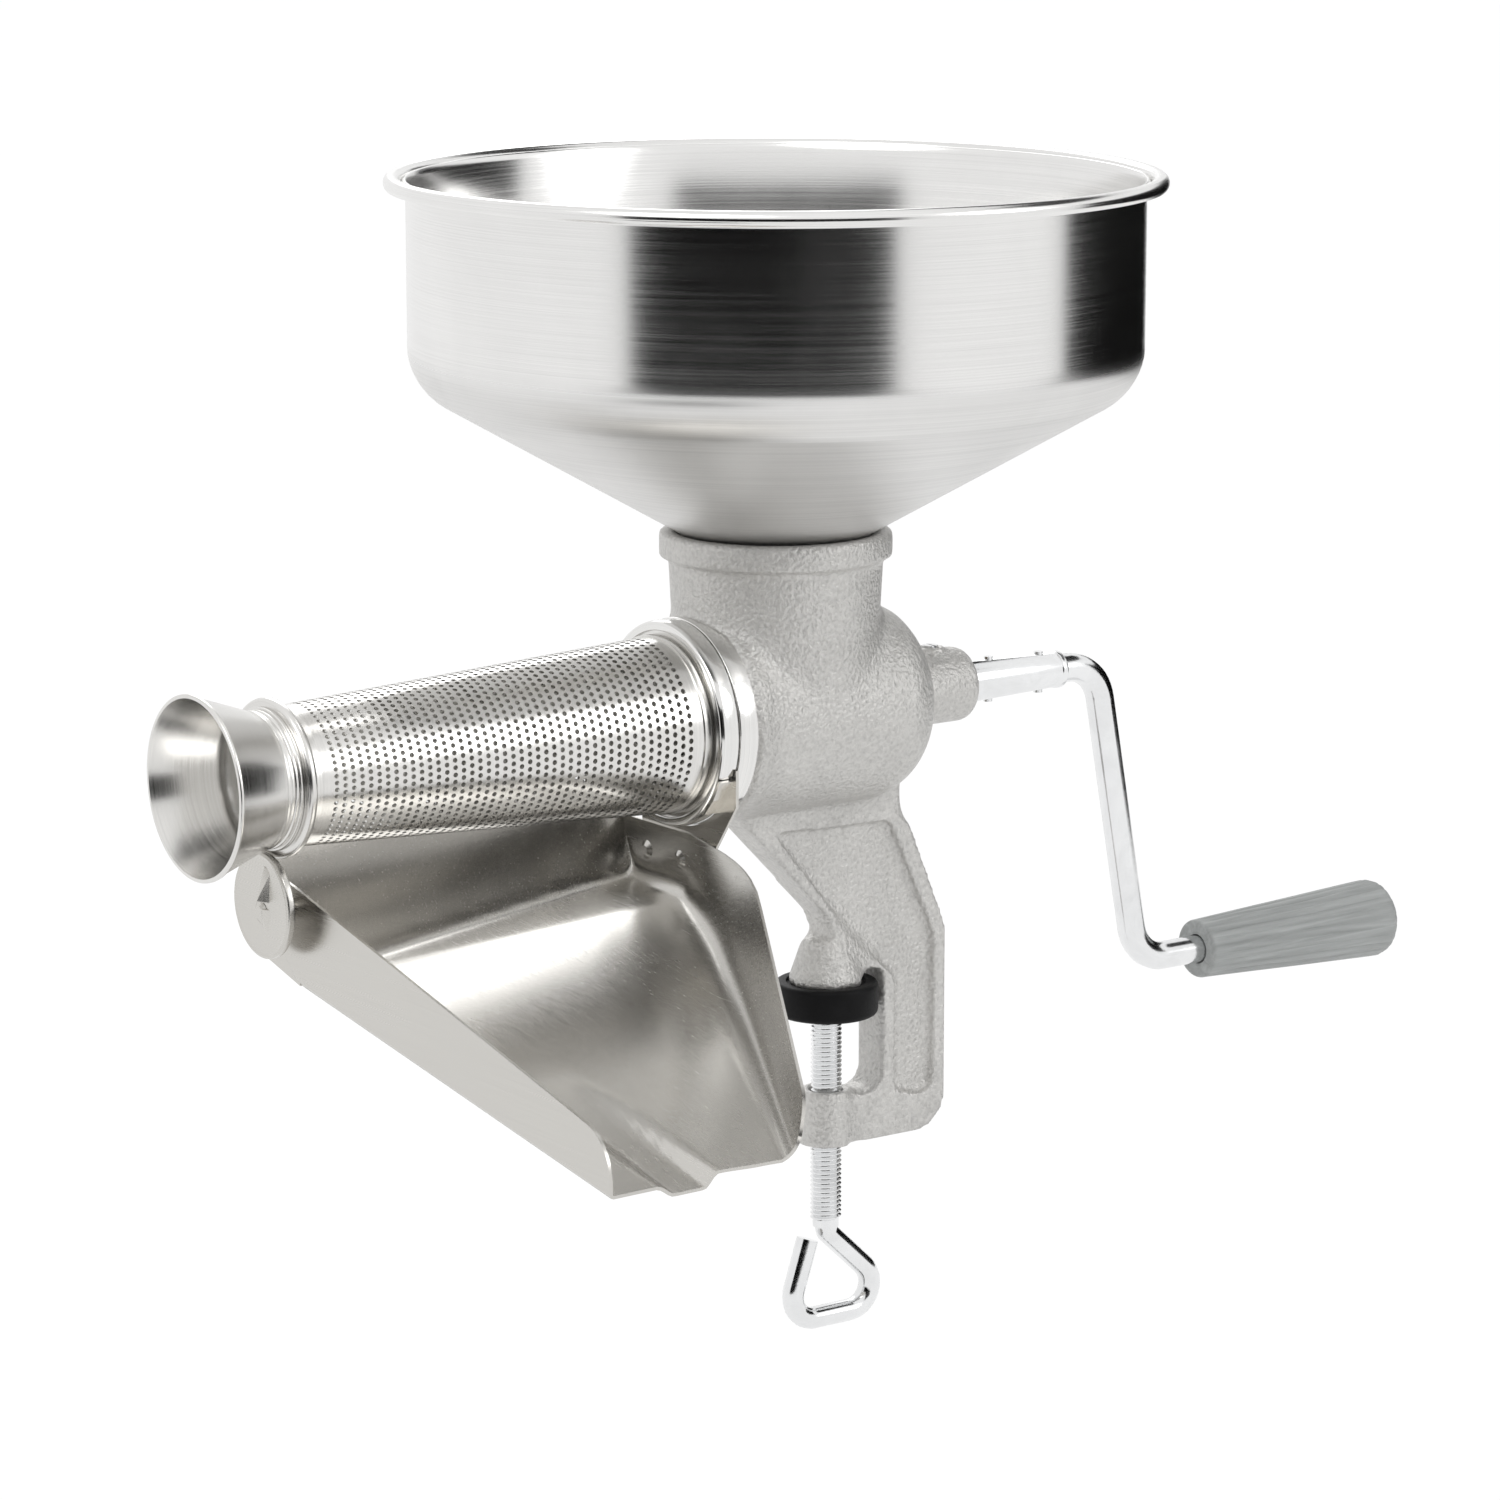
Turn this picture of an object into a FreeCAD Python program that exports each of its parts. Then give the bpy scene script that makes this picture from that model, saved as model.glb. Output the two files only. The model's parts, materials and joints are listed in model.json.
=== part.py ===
import FreeCAD, Part
import math
import os
import re
import Sketcher

# Hand crank tomato strainer with table clamp.
# Every piece is drawn about the barrel: X runs along the barrel towards the crank, the hopper axis is X = 0
# and the barrel axis is Z = 0. The pieces are then placed so that the origin lies on the clamp screw axis, in
# the face of the clamp foot that rests on the table.

doc = FreeCAD.newDocument("tomato_strainer")
sheet = doc.addObject("Spreadsheet::Sheet", "Sizes")

# Driving dimensions, in millimetres. Distances ahead of the hopper axis, towards the outlet, are positive.
DIMENSIONS = (
    # where the pieces stand
    ("screw_offset", 20.0),
    ("axis_height", 91.0),
    ("running_gap", 0.06),
    ("loose_gap", 0.3),
    ("cut_past", 1.0),
    # casting: barrel, neck and rear boss
    ("barrel_wall", 5.0),
    ("spigot_wall", 2.6),
    ("bore_back", 37.5),
    ("bore_round", 3.0),
    ("spigot_radius", 29.6),
    ("spigot_front", 40.8),
    ("spigot_length", 4.5),
    ("collar_step", 2.4),
    ("collar_length", 7.6),
    ("shoulder_step", 1.5),
    ("shoulder_width", 4.4),
    ("shoulder_slope", 1.6),
    ("dome_wall", 9.5),
    ("dome_round", 18.0),
    ("boss_radius", 12.0),
    ("boss_length", 26.0),
    ("boss_round", 3.5),
    ("neck_base_radius", 31.0),
    ("neck_radius", 33.35),
    ("neck_bore_radius", 29.4),
    ("neck_bore_floor", 15.0),
    ("throat_radius", 23.5),
    ("lip_radius", 36.2),
    ("lip_bottom", 49.0),
    ("lip_top", 56.7),
    ("lip_round", 1.4),
    ("lip_chamfer", 2.4),
    # casting: clamp leg
    ("leg_width", 14.0),
    ("web_depth", 3.0),
    ("rim_width", 5.0),
    ("web_left_inset", 15.0),
    ("web_top_inset", 7.5),
    ("web_foot_rise", 15.0),
    ("web_heel_rise", 11.0),
    ("leg_left", 20.0),
    ("leg_left_drop", 31.0),
    ("arm_drop", 70.0),
    ("spine_inner", 37.3),
    ("spine_outer", 62.5),
    ("spine_top_drop", 77.0),
    ("leg_right", 45.0),
    ("leg_right_drop", 35.0),
    ("leg_root_drop", 20.0),
    ("throat_round", 6.0),
    ("throat_top_rise", 4.0),
    ("leg_bottom_round", 12.0),
    ("leg_bend_round", 14.0),
    ("foot_radius", 12.0),
    ("foot_top_radius", 7.6),
    ("foot_rim", 2.0),
    ("foot_height", 15.0),
    ("throat_height", 34.5),
    ("nut_height", 18.0),
    ("nut_top_radius", 8.4),
    ("nut_base_radius", 9.3),
    ("oil_pad_setback", 13.5),
    ("oil_pad_radius", 4.6),
    ("oil_pad_top", 13.0),
    ("oil_screw_radius", 2.5),
    ("oil_screw_length", 4.7),
    ("oil_screw_proud", 0.6),
    ("oil_slot", 0.8),
    # lock ring and its pins
    ("ring_lip_overlap", 0.7),
    ("ring_lip", 1.1),
    ("ring_wall", 0.9),
    ("ring_track_half", 1.3),
    ("ring_round", 0.6),
    ("pin_radius", 1.0),
    ("pin_setback", 2.3),
    ("pin_depth", 1.8),
    ("pin_reach", 1.1),
    ("pin_count", 3),
    # sieve and outlet
    ("sieve_sheet", 0.8),
    ("sieve_step", 0.3),
    ("sieve_front_radius", 20.9),
    ("flange_length", 4.2),
    ("sieve_front", 176.5),
    ("flange_band_step", 0.5),
    ("flange_thickness", 1.1),
    ("bead_radius", 23.8),
    ("bead_setback", 3.1),
    ("bead_length", 3.4),
    ("bead_round", 1.4),
    ("collar_bore_radius", 19.6),
    ("outlet_length", 20.5),
    ("outlet_radius", 27.65),
    ("outlet_sheet", 1.2),
    ("outlet_rim", 1.2),
    ("outlet_slope", 3.0),
    ("outlet_neck_radius", 20.3),
    ("outlet_step_length", 1.4),
    ("outlet_step_radius", 21.3),
    # drip tray
    ("tray_sheet", 1.0),
    ("tray_overhang", 2.1),
    ("tray_back", 30.0),
    ("tray_fold", 7.0),
    ("tray_flare", 41.0),
    ("tray_lip", 171.4),
    ("tray_open", 2.0),
    ("back_top_left", 25.0),
    ("back_top_right", 34.0),
    ("fold_floor_left", 61.0),
    ("fold_top_left", 32.0),
    ("fold_right", 37.2),
    ("fold_floor_right", 55.0),
    ("fold_top_right", 34.0),
    ("back_floor_left", 27.0),
    ("back_floor_right", 36.0),
    ("tray_foot", 24.0),
    ("foot_floor_left", 31.0),
    ("foot_floor_right", 53.0),
    ("foot_top_left", 26.1),
    ("crease_inset", 3.0),
    ("crease_strip", 10.0),
    ("wall_end", 16.0),
    ("wall_end_drop", 54.8),
    ("wall_end_top", 34.0),
    ("flare_floor_left", 66.5),
    ("flare_top_left", 40.2),
    ("flare_right", 52.0),
    ("flare_floor_right", 62.5),
    ("flare_top_right", 39.0),
    ("flare_top_place", 38.0),
    ("lip_floor", 87.5),
    ("lip_top_left", 71.4),
    ("lip_right", 116.0),
    ("lip_floor_right", 85.2),
    ("lip_top_right", 72.5),
    ("lip_top_place", 112.0),
    ("lip_corner_round", 11.0),
    ("rib_inset", 16.6),
    ("rib_width", 10.0),
    ("rib_side", 4.5),
    ("rib_depth", 2.9),
    ("rib_step", 0.9),
    # tray hook and rivets
    ("hook_sheet", 1.0),
    ("hook_front", 31.0),
    ("hook_foot_drop", 50.0),
    ("hook_foot_back", 19.5),
    ("hook_high_drop", 10.3),
    ("hook_low_drop", 21.7),
    ("hook_foot_front", 10.3),
    ("hook_ear_length", 5.6),
    ("ear_first_angle", 24.0),
    ("ear_middle_angle", 36.0),
    ("ear_last_angle", 48.0),
    ("rivet_radius", 1.5),
    ("rivet_head_radius", 3.0),
    ("rivet_head", 1.1),
    ("rivet_drop", 43.0),
    ("rivet_spread", 9.0),
    ("rivet_middle", 6.5),
    # tray latch
    ("latch_radius", 16.0),
    ("latch_thickness", 2.4),
    ("latch_drop", 39.6),
    ("latch_throw", 2.0),
    ("latch_standoff", 5.0),
    ("latch_round", 0.8),
    ("wing_length", 10.5),
    ("wing_width", 3.6),
    ("wing_height", 1.8),
    ("stud_radius", 2.0),
    ("stud_head_radius", 3.4),
    ("stud_head", 1.0),
    ("stud_play", 0.1),
    # auger and shaft
    ("auger_gap", 1.2),
    ("barrel_turns", 3),
    ("auger_pitch", 27.0),
    ("auger_hub_radius", 13.0),
    ("auger_tip_radius", 9.0),
    ("auger_flight", 4.0),
    ("auger_short", 4.5),
    ("shaft_radius", 6.0),
    ("shaft_front", 60.0),
    ("rod_radius", 4.65),
    ("shaft_reach", 19.0),
    ("washer_radius", 14.0),
    ("washer_thickness", 1.6),
    ("seal_setback", 5.5),
    ("seal_length", 6.0),
    ("seal_radius", 8.9),
    ("bush_radius", 8.5),
    # crank
    ("socket_front_radius", 6.9),
    ("socket_back_radius", 5.7),
    ("socket_length", 37.7),
    ("socket_lip", 2.0),
    ("socket_lip_radius", 6.1),
    ("socket_pin_radius", 1.5),
    ("socket_pin_setback", 11.0),
    ("socket_pin_spacing", 20.5),
    ("socket_pin_proud", 0.8),
    ("elbow_reach", 55.3),
    ("crank_throw", 102.0),
    ("crank_splay", 19.0),
    ("crank_bend", 14.0),
    ("grip_reach", 26.2),
    ("grip_length", 81.0),
    ("grip_small_radius", 9.75),
    ("grip_large_radius", 13.2),
    ("grip_small_round", 1.2),
    ("grip_large_round", 4.0),
    ("grip_wall", 12.0),
    ("clip_radius", 6.4),
    ("clip_neck_radius", 3.9),
    ("clip_thickness", 1.2),
    ("clip_inset", 8.0),
    # hopper
    ("hopper_radius", 113.2),
    ("hopper_sheet", 0.9),
    ("hopper_top", 164.5),
    ("hopper_round", 19.0),
    ("seat_gap", 0.35),
    ("hopper_slope", 0.568),
    ("spout_end", 32.0),
    ("rim_overhang", 4.2),
    ("rim_bead_radius", 2.6),
    ("rim_fold", 1.0),
    ("rim_round", 2.2),
    # clamp screw and pad
    ("screw_radius", 5.0),
    ("screw_bottom", 171.0),
    ("screw_hole_gap", 0.35),
    ("screw_neck_radius", 3.2),
    ("screw_groove_radius", 2.3),
    ("eye_rod_radius", 3.5),
    ("eye_turn", 173.0),
    ("eye_bottom", 201.2),
    ("eye_right", 30.0),
    ("eye_left", 16.0),
    ("eye_end_side", 7.2),
    ("eye_end_drop", 174.5),
    ("eye_round", 8.2),
    ("eye_shoulder", 4.0),
    ("pad_radius", 16.5),
    ("pad_height", 10.8),
    ("pad_rim", 0.8),
    ("pad_recess_radius", 12.8),
    ("pad_round", 1.5),
    ("pad_cavity_radius", 5.6),
    ("pad_cavity_height", 3.6),
    ("pad_floor", 4.0),
    ("retainer_radius", 5.2),
    ("retainer_thickness", 1.0),
)
# Places and sizes that follow from those above.
RELATED = (
    ("barrel_bore_radius", "=spigot_radius - spigot_wall"),
    ("barrel_radius", "=barrel_bore_radius + barrel_wall"),
    ("collar_radius", "=spigot_radius + collar_step"),
    ("shoulder_radius", "=collar_radius + shoulder_step"),
    ("ring_radius", "=collar_radius"),
    ("ring_lip_radius", "=spigot_radius - ring_lip_overlap"),
    ("ring_track_radius", "=ring_radius - ring_wall"),
    ("pin_root_radius", "=spigot_radius - pin_depth"),
    ("pin_tip_radius", "=spigot_radius + pin_reach"),
    ("sieve_rear_radius", "=barrel_bore_radius + sieve_step"),
    ("flange_band_radius", "=sieve_rear_radius + flange_band_step"),
    ("collar_front", "=spigot_front - spigot_length"),
    ("shoulder_front", "=collar_front - collar_length"),
    ("dome_back", "=bore_back + dome_wall"),
    ("boss_back", "=dome_back + boss_length"),
    ("oil_pad_place", "=dome_back + oil_pad_setback"),
    ("ring_front", "=spigot_front + flange_thickness + stud_play + ring_lip"),
    ("pin_place", "=collar_front + pin_setback"),
    ("sieve_rear", "=spigot_front + flange_thickness + flange_length"),
    ("bead_rear", "=sieve_front + bead_setback"),
    ("bead_front", "=bead_rear + bead_length"),
    ("outlet_step", "=bead_front + outlet_step_length"),
    ("outlet_neck", "=outlet_step + outlet_slope"),
    ("outlet_front", "=outlet_neck + outlet_length"),
    ("tray_left", "=sieve_front + tray_overhang"),
    ("rib_left", "=tray_left - rib_inset"),
    ("latch_rear", "=tray_left + latch_standoff"),
    ("auger_front", "=sieve_front - auger_short"),
    ("shaft_back", "=boss_back + shaft_reach"),
    ("seal_front", "=bore_back + seal_setback"),
    ("seal_back", "=seal_front + seal_length"),
    ("socket_back", "=boss_back + socket_length"),
    ("socket_pin_one", "=boss_back + socket_pin_setback"),
    ("socket_pin_two", "=socket_pin_one + socket_pin_spacing"),
    ("crank_elbow", "=boss_back + elbow_reach"),
    ("grip_front", "=crank_elbow + crank_splay + grip_reach"),
    ("grip_back", "=grip_front + grip_length"),
    ("rim_radius", "=hopper_radius + rim_overhang"),
)
for row, (alias, amount) in enumerate(DIMENSIONS + RELATED, start=1):
    sheet.set("A%d" % row, alias)
    sheet.set("B%d" % row, str(amount))
    sheet.setAlias("B%d" % row, alias)
doc.recompute()

ALIASES = {alias for alias, amount in DIMENSIONS + RELATED}
RIVET_SIDES = (-1, 1)
WING_SIDES = (-1, 1)
PLACE_X = "-screw_offset"
PLACE_Z = "axis_height"


# Gives each size named in a formula its full name.
def formula(text):
    def named(match):
        word = match.group(0)
        return "Sizes." + word if word in ALIASES else word
    return re.sub(r"[a-z][a-z_]*", named, str(text))


def amount_of(text):
    return float(sheet.evalExpression(formula(text)))


def new_body(name):
    body = doc.addObject("PartDesign::Body", name)
    body.Label = name
    body.setExpression(".Placement.Base.x", formula(PLACE_X))
    body.setExpression(".Placement.Base.z", formula(PLACE_Z))
    return body


def origin_feature(body, role):
    return next(item for item in body.Origin.OriginFeatures if item.Role == role)


def new_sketch(body, name, plane, shift):
    sketch = body.newObject("Sketcher::SketchObject", name)
    sketch.AttachmentSupport = (origin_feature(body, plane), [""])
    sketch.MapMode = "FlatFace"
    for axis, text in zip("xyz", shift):
        if text != "0":
            sketch.setExpression(".AttachmentOffset.Base." + axis, formula(text))
    return sketch


# Ties a point of a sketch to two formulas, from the sketch's origin.
def tie_point(sketch, geometry, position, across, along):
    for kind, text in (("DistanceX", across), ("DistanceY", along)):
        index = sketch.addConstraint(
            Sketcher.Constraint(kind, -1, 1, geometry, position, amount_of(text)))
        sketch.setExpression("Constraints[%d]" % index, formula(text))


# Draws straight runs through the corners. A corner with a third formula is rounded to that radius.
def draw_runs(sketch, corners, closed):
    spots = [FreeCAD.Vector(amount_of(c[0]), amount_of(c[1]), 0) for c in corners]
    radii = [amount_of(c[2]) if len(c) > 2 else 0.0 for c in corners]
    count = len(corners)
    starts = list(spots)
    ends = list(spots)
    arcs = {}
    for i in range(count):
        if not radii[i]:
            continue
        back = (spots[i - 1] - spots[i]).normalize()
        ahead = (spots[(i + 1) % count] - spots[i]).normalize()
        half = back.getAngle(ahead) / 2
        reach = radii[i] / math.tan(half)
        ends[i] = spots[i] + back * reach
        starts[i] = spots[i] + ahead * reach
        centre = spots[i] + (back + ahead).normalize() * (radii[i] / math.sin(half))
        arcs[i] = (centre, back.cross(ahead).z < 0)
    runs = []
    for i in range(count if closed else count - 1):
        runs.append(sketch.addGeometry(Part.LineSegment(starts[i], ends[(i + 1) % count]), False))
    for i, corner in enumerate(corners):
        before = runs[i - 1] if closed or i > 0 else None
        after = runs[i] if i < len(runs) else None
        if i in arcs:
            centre, left_turn = arcs[i]
            first, second = (ends[i], starts[i]) if left_turn else (starts[i], ends[i])
            angles = [math.atan2(p.y - centre.y, p.x - centre.x) for p in (first, second)]
            circle = Part.Circle(centre, FreeCAD.Vector(0, 0, 1), radii[i])
            arc = sketch.addGeometry(Part.ArcOfCircle(circle, angles[0], angles[1]), False)
            entry, leave = (1, 2) if left_turn else (2, 1)
            mark = sketch.addGeometry(Part.Point(spots[i]), True)
            sketch.addConstraint([
                Sketcher.Constraint("Tangent", before, 2, arc, entry),
                Sketcher.Constraint("Tangent", after, 1, arc, leave),
                Sketcher.Constraint("PointOnObject", mark, 1, before),
                Sketcher.Constraint("PointOnObject", mark, 1, after),
            ])
            index = sketch.addConstraint(Sketcher.Constraint("Radius", arc, radii[i]))
            sketch.setExpression("Constraints[%d]" % index, formula(corner[2]))
            tie_point(sketch, mark, 1, corner[0], corner[1])
        else:
            if before is not None and after is not None:
                sketch.addConstraint(Sketcher.Constraint("Coincident", before, 2, after, 1))
            if after is not None:
                tie_point(sketch, after, 1, corner[0], corner[1])
            else:
                tie_point(sketch, before, 2, corner[0], corner[1])
    return sketch


def outline(body, name, plane, corners, shift=("0", "0", "0")):
    return draw_runs(new_sketch(body, name, plane, shift), corners, True)


def path(body, name, plane, corners, shift=("0", "0", "0")):
    return draw_runs(new_sketch(body, name, plane, shift), corners, False)


def disc(body, name, plane, across, along, radius, shift=("0", "0", "0")):
    sketch = new_sketch(body, name, plane, shift)
    centre = FreeCAD.Vector(amount_of(across), amount_of(along), 0)
    ring = sketch.addGeometry(Part.Circle(centre, FreeCAD.Vector(0, 0, 1), amount_of(radius)), False)
    index = sketch.addConstraint(Sketcher.Constraint("Radius", ring, amount_of(radius)))
    sketch.setExpression("Constraints[%d]" % index, formula(radius))
    tie_point(sketch, ring, 3, across, along)
    return sketch


# Turns a profile about its sketch's own axis: H_Axis lies along the barrel, V_Axis stands upright.
def turn(body, sketch, axis="H_Axis", cut=False):
    kind = "PartDesign::Groove" if cut else "PartDesign::Revolution"
    feature = body.newObject(kind, sketch.Name + "_turned")
    feature.Profile = sketch
    feature.ReferenceAxis = (sketch, [axis])
    feature.Angle = 360.0
    sketch.Visibility = False
    doc.recompute()
    return feature


def pad(body, sketch, length, symmetric=False, reverse=False):
    feature = body.newObject("PartDesign::Pad", sketch.Name + "_padded")
    feature.Profile = sketch
    feature.setExpression(".Length", formula(length))
    if symmetric:
        feature.SideType = "Symmetric"
    feature.Reversed = reverse
    doc.recompute()
    return feature


# Cuts a profile into the body and checks that something was cut.
def pocket(body, sketch, length, symmetric=False, reverse=False):
    before = body.Shape.Volume
    feature = body.newObject("PartDesign::Pocket", sketch.Name + "_cut")
    feature.Profile = sketch
    feature.setExpression(".Length", formula(length))
    if symmetric:
        feature.SideType = "Symmetric"
    feature.Reversed = reverse
    doc.recompute()
    if not body.Shape.Volume < before:
        raise ValueError(sketch.Name + " cuts nothing")
    return feature


def sweep(body, profile, spine):
    feature = body.newObject("PartDesign::AdditivePipe", spine.Name + "_swept")
    feature.Profile = profile
    feature.Spine = (spine, [])
    doc.recompute()
    return feature


def loft(body, name, sections, cut=False):
    kind = "PartDesign::SubtractiveLoft" if cut else "PartDesign::AdditiveLoft"
    feature = body.newObject(kind, name)
    feature.Profile = sections[0]
    feature.Sections = sections[1:]
    feature.Ruled = True
    doc.recompute()
    return feature


def polar(body, feature, count):
    pattern = body.newObject("PartDesign::PolarPattern", feature.Name + "_round")
    pattern.Originals = [feature]
    pattern.Axis = (origin_feature(body, "X_Axis"), [""])
    pattern.Angle = 360.0
    pattern.setExpression(".Occurrences", formula(count))
    body.Tip = pattern
    doc.recompute()
    return pattern


# A plain ring about the barrel axis, between two distances behind the hopper axis.
def ring(name, inner, outer, front, back):
    body = new_body(name)
    turn(body, outline(body, name + "_section", "XZ_Plane", [
        (front, inner), (back, inner), (back, outer), (front, outer)]))
    return body


# Casting: barrel, neck, rear boss, clamp leg, clamp foot and screw boss in one piece.
def make_cast_body():
    body = new_body("cast_body")
    turn(body, outline(body, "barrel", "XZ_Plane", [
        ("-spigot_front", "0"),
        ("-spigot_front", "spigot_radius"),
        ("-collar_front", "spigot_radius"),
        ("-collar_front", "collar_radius"),
        ("-shoulder_front", "collar_radius"),
        ("-shoulder_front", "shoulder_radius"),
        ("-shoulder_front + shoulder_width", "shoulder_radius"),
        ("-shoulder_front + shoulder_width + shoulder_slope", "barrel_radius"),
        ("dome_back", "barrel_radius", "dome_round"),
        ("dome_back", "boss_radius"),
        ("boss_back", "boss_radius", "boss_round"),
        ("boss_back", "0"),
    ]))
    turn(body, outline(body, "neck", "XZ_Plane", [
        ("0", "0"),
        ("neck_base_radius", "0"),
        ("neck_radius", "lip_bottom - lip_round"),
        ("lip_radius", "lip_bottom"),
        ("lip_radius", "lip_top", "lip_round"),
        ("0", "lip_top"),
    ]), "V_Axis")
    nut_top = "-(axis_height + throat_height)"
    nut_base = "-(axis_height + throat_height + nut_height)"
    pad(body, outline(body, "leg", "XZ_Plane", [
        ("-leg_left", "-leg_root_drop"),
        ("-leg_left", "-leg_left_drop"),
        ("screw_offset - rim_width / 2", "-arm_drop", "leg_bend_round"),
        ("screw_offset - rim_width / 2", "-axis_height + throat_top_rise"),
        ("spine_inner", "-axis_height + throat_top_rise", "throat_round / 2"),
        ("spine_inner", nut_top + " - foot_rim", "throat_round"),
        ("screw_offset", nut_top + " - foot_rim"),
        ("screw_offset", nut_base + " + foot_rim"),
        ("screw_offset + nut_base_radius", nut_base, "leg_bottom_round"),
        ("spine_outer", nut_base, "leg_bottom_round"),
        ("spine_outer", "-spine_top_drop", "leg_bend_round"),
        ("leg_right", "-leg_right_drop"),
        ("leg_right", "-leg_root_drop"),
    ]), "leg_width", symmetric=True)
    web = pocket(body, outline(body, "web", "XZ_Plane", [
        ("-leg_left + web_left_inset", "-leg_left_drop - web_top_inset"),
        ("screw_offset + rim_width", "-arm_drop - rim_width", "rim_width"),
        ("spine_inner + rim_width", "-axis_height", "throat_round"),
        ("spine_inner + rim_width", nut_base + " + web_foot_rise", "rim_width"),
        ("spine_outer - rim_width", nut_base + " + web_heel_rise", "rim_width"),
        ("spine_outer - rim_width", "-spine_top_drop - rim_width / 3", "leg_bend_round"),
        ("leg_right - rim_width", "-leg_right_drop - rim_width", "rim_width / 2"),
    ], ("0", "0", "leg_width / 2")), "web_depth")
    mirror = body.newObject("PartDesign::Mirrored", "web_both_sides")
    mirror.Originals = [web]
    mirror.MirrorPlane = (origin_feature(body, "XZ_Plane"), [""])
    body.Tip = mirror
    doc.recompute()
    at_screw = ("screw_offset", "0", "0")
    turn(body, outline(body, "foot", "XZ_Plane", [
        ("0", "-axis_height"),
        ("foot_radius", "-axis_height"),
        ("foot_radius", "-axis_height + foot_rim"),
        ("foot_top_radius", "-axis_height + foot_height"),
        ("0", "-axis_height + foot_height"),
    ], at_screw), "V_Axis")
    turn(body, outline(body, "nut_boss", "XZ_Plane", [
        ("0", nut_base),
        ("nut_base_radius", nut_base),
        ("nut_top_radius", nut_top),
        ("0", nut_top),
    ], at_screw), "V_Axis")
    turn(body, outline(body, "oil_pad", "XZ_Plane", [
        ("0", "0"),
        ("oil_pad_radius", "0"),
        ("oil_pad_radius", "oil_pad_top"),
        ("0", "oil_pad_top"),
    ], ("oil_pad_place", "0", "0")), "V_Axis")
    turn(body, outline(body, "bore", "XZ_Plane", [
        ("-spigot_front - cut_past", "0"),
        ("bore_back", "0"),
        ("bore_back", "barrel_bore_radius", "bore_round"),
        ("-spigot_front - cut_past", "barrel_bore_radius"),
    ]), cut=True)
    turn(body, outline(body, "shaft_bore", "XZ_Plane", [
        ("bore_back - cut_past", "0"),
        ("boss_back + cut_past", "0"),
        ("boss_back + cut_past", "bush_radius"),
        ("seal_back", "bush_radius"),
        ("seal_back", "seal_radius"),
        ("seal_front", "seal_radius"),
        ("seal_front", "shaft_radius + loose_gap"),
        ("bore_back - cut_past", "shaft_radius + loose_gap"),
    ]), cut=True)
    turn(body, outline(body, "neck_bore", "XZ_Plane", [
        ("0", "0"),
        ("throat_radius", "0"),
        ("throat_radius", "neck_bore_floor"),
        ("neck_bore_radius", "neck_bore_floor"),
        ("neck_bore_radius", "lip_top - lip_chamfer"),
        ("neck_bore_radius + lip_chamfer", "lip_top"),
        ("neck_bore_radius + lip_chamfer", "lip_top + cut_past"),
        ("0", "lip_top + cut_past"),
    ]), "V_Axis", cut=True)
    turn(body, outline(body, "screw_hole", "XZ_Plane", [
        ("0", nut_base + " - cut_past"),
        ("screw_radius + screw_hole_gap", nut_base + " - cut_past"),
        ("screw_radius + screw_hole_gap", nut_top + " + cut_past"),
        ("0", nut_top + " + cut_past"),
    ], at_screw), "V_Axis", cut=True)
    turn(body, outline(body, "oil_hole", "XZ_Plane", [
        ("0", "0"),
        ("oil_screw_radius + running_gap", "0"),
        ("oil_screw_radius + running_gap", "oil_pad_top + cut_past"),
        ("0", "oil_pad_top + cut_past"),
    ], ("oil_pad_place", "0", "0")), "V_Axis", cut=True)
    hole = pocket(body, disc(body, "pin_hole", "XY_Plane", "-pin_place", "0", "pin_radius + running_gap",
                             ("0", "0", "ring_radius")), "ring_radius - pin_root_radius")
    polar(body, hole, "pin_count")
    return body


# Feed hopper: one spun sheet with a rolled rim and a spout that stands in the neck.
def make_hopper():
    body = new_body("hopper")
    seat = "(lip_top + seat_gap + hopper_slope * (%s - neck_bore_radius - lip_chamfer))"
    lift = "hopper_sheet * (sqrt(1 + hopper_slope ^ 2) - hopper_slope)"
    spout = "(neck_bore_radius - loose_gap)"
    inner = "hopper_radius - hopper_sheet"
    turn(body, outline(body, "hopper_wall", "XZ_Plane", [
        (spout + " - hopper_sheet", "spout_end"),
        (spout, "spout_end"),
        (spout, seat % spout),
        ("hopper_radius", seat % "hopper_radius", "hopper_round"),
        ("hopper_radius", "hopper_top - rim_fold"),
        ("rim_radius", "hopper_top - rim_fold"),
        ("rim_radius", "hopper_top + rim_fold"),
        (inner, "hopper_top + rim_fold", "rim_round"),
        (inner, seat % "hopper_radius" + " + " + lift, "hopper_round - hopper_sheet"),
        (spout + " - hopper_sheet", seat % spout + " + " + lift),
    ]), "V_Axis")
    turn(body, disc(body, "rolled_rim", "XZ_Plane", "rim_radius", "hopper_top", "rim_bead_radius"), "V_Axis")
    return body


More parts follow.
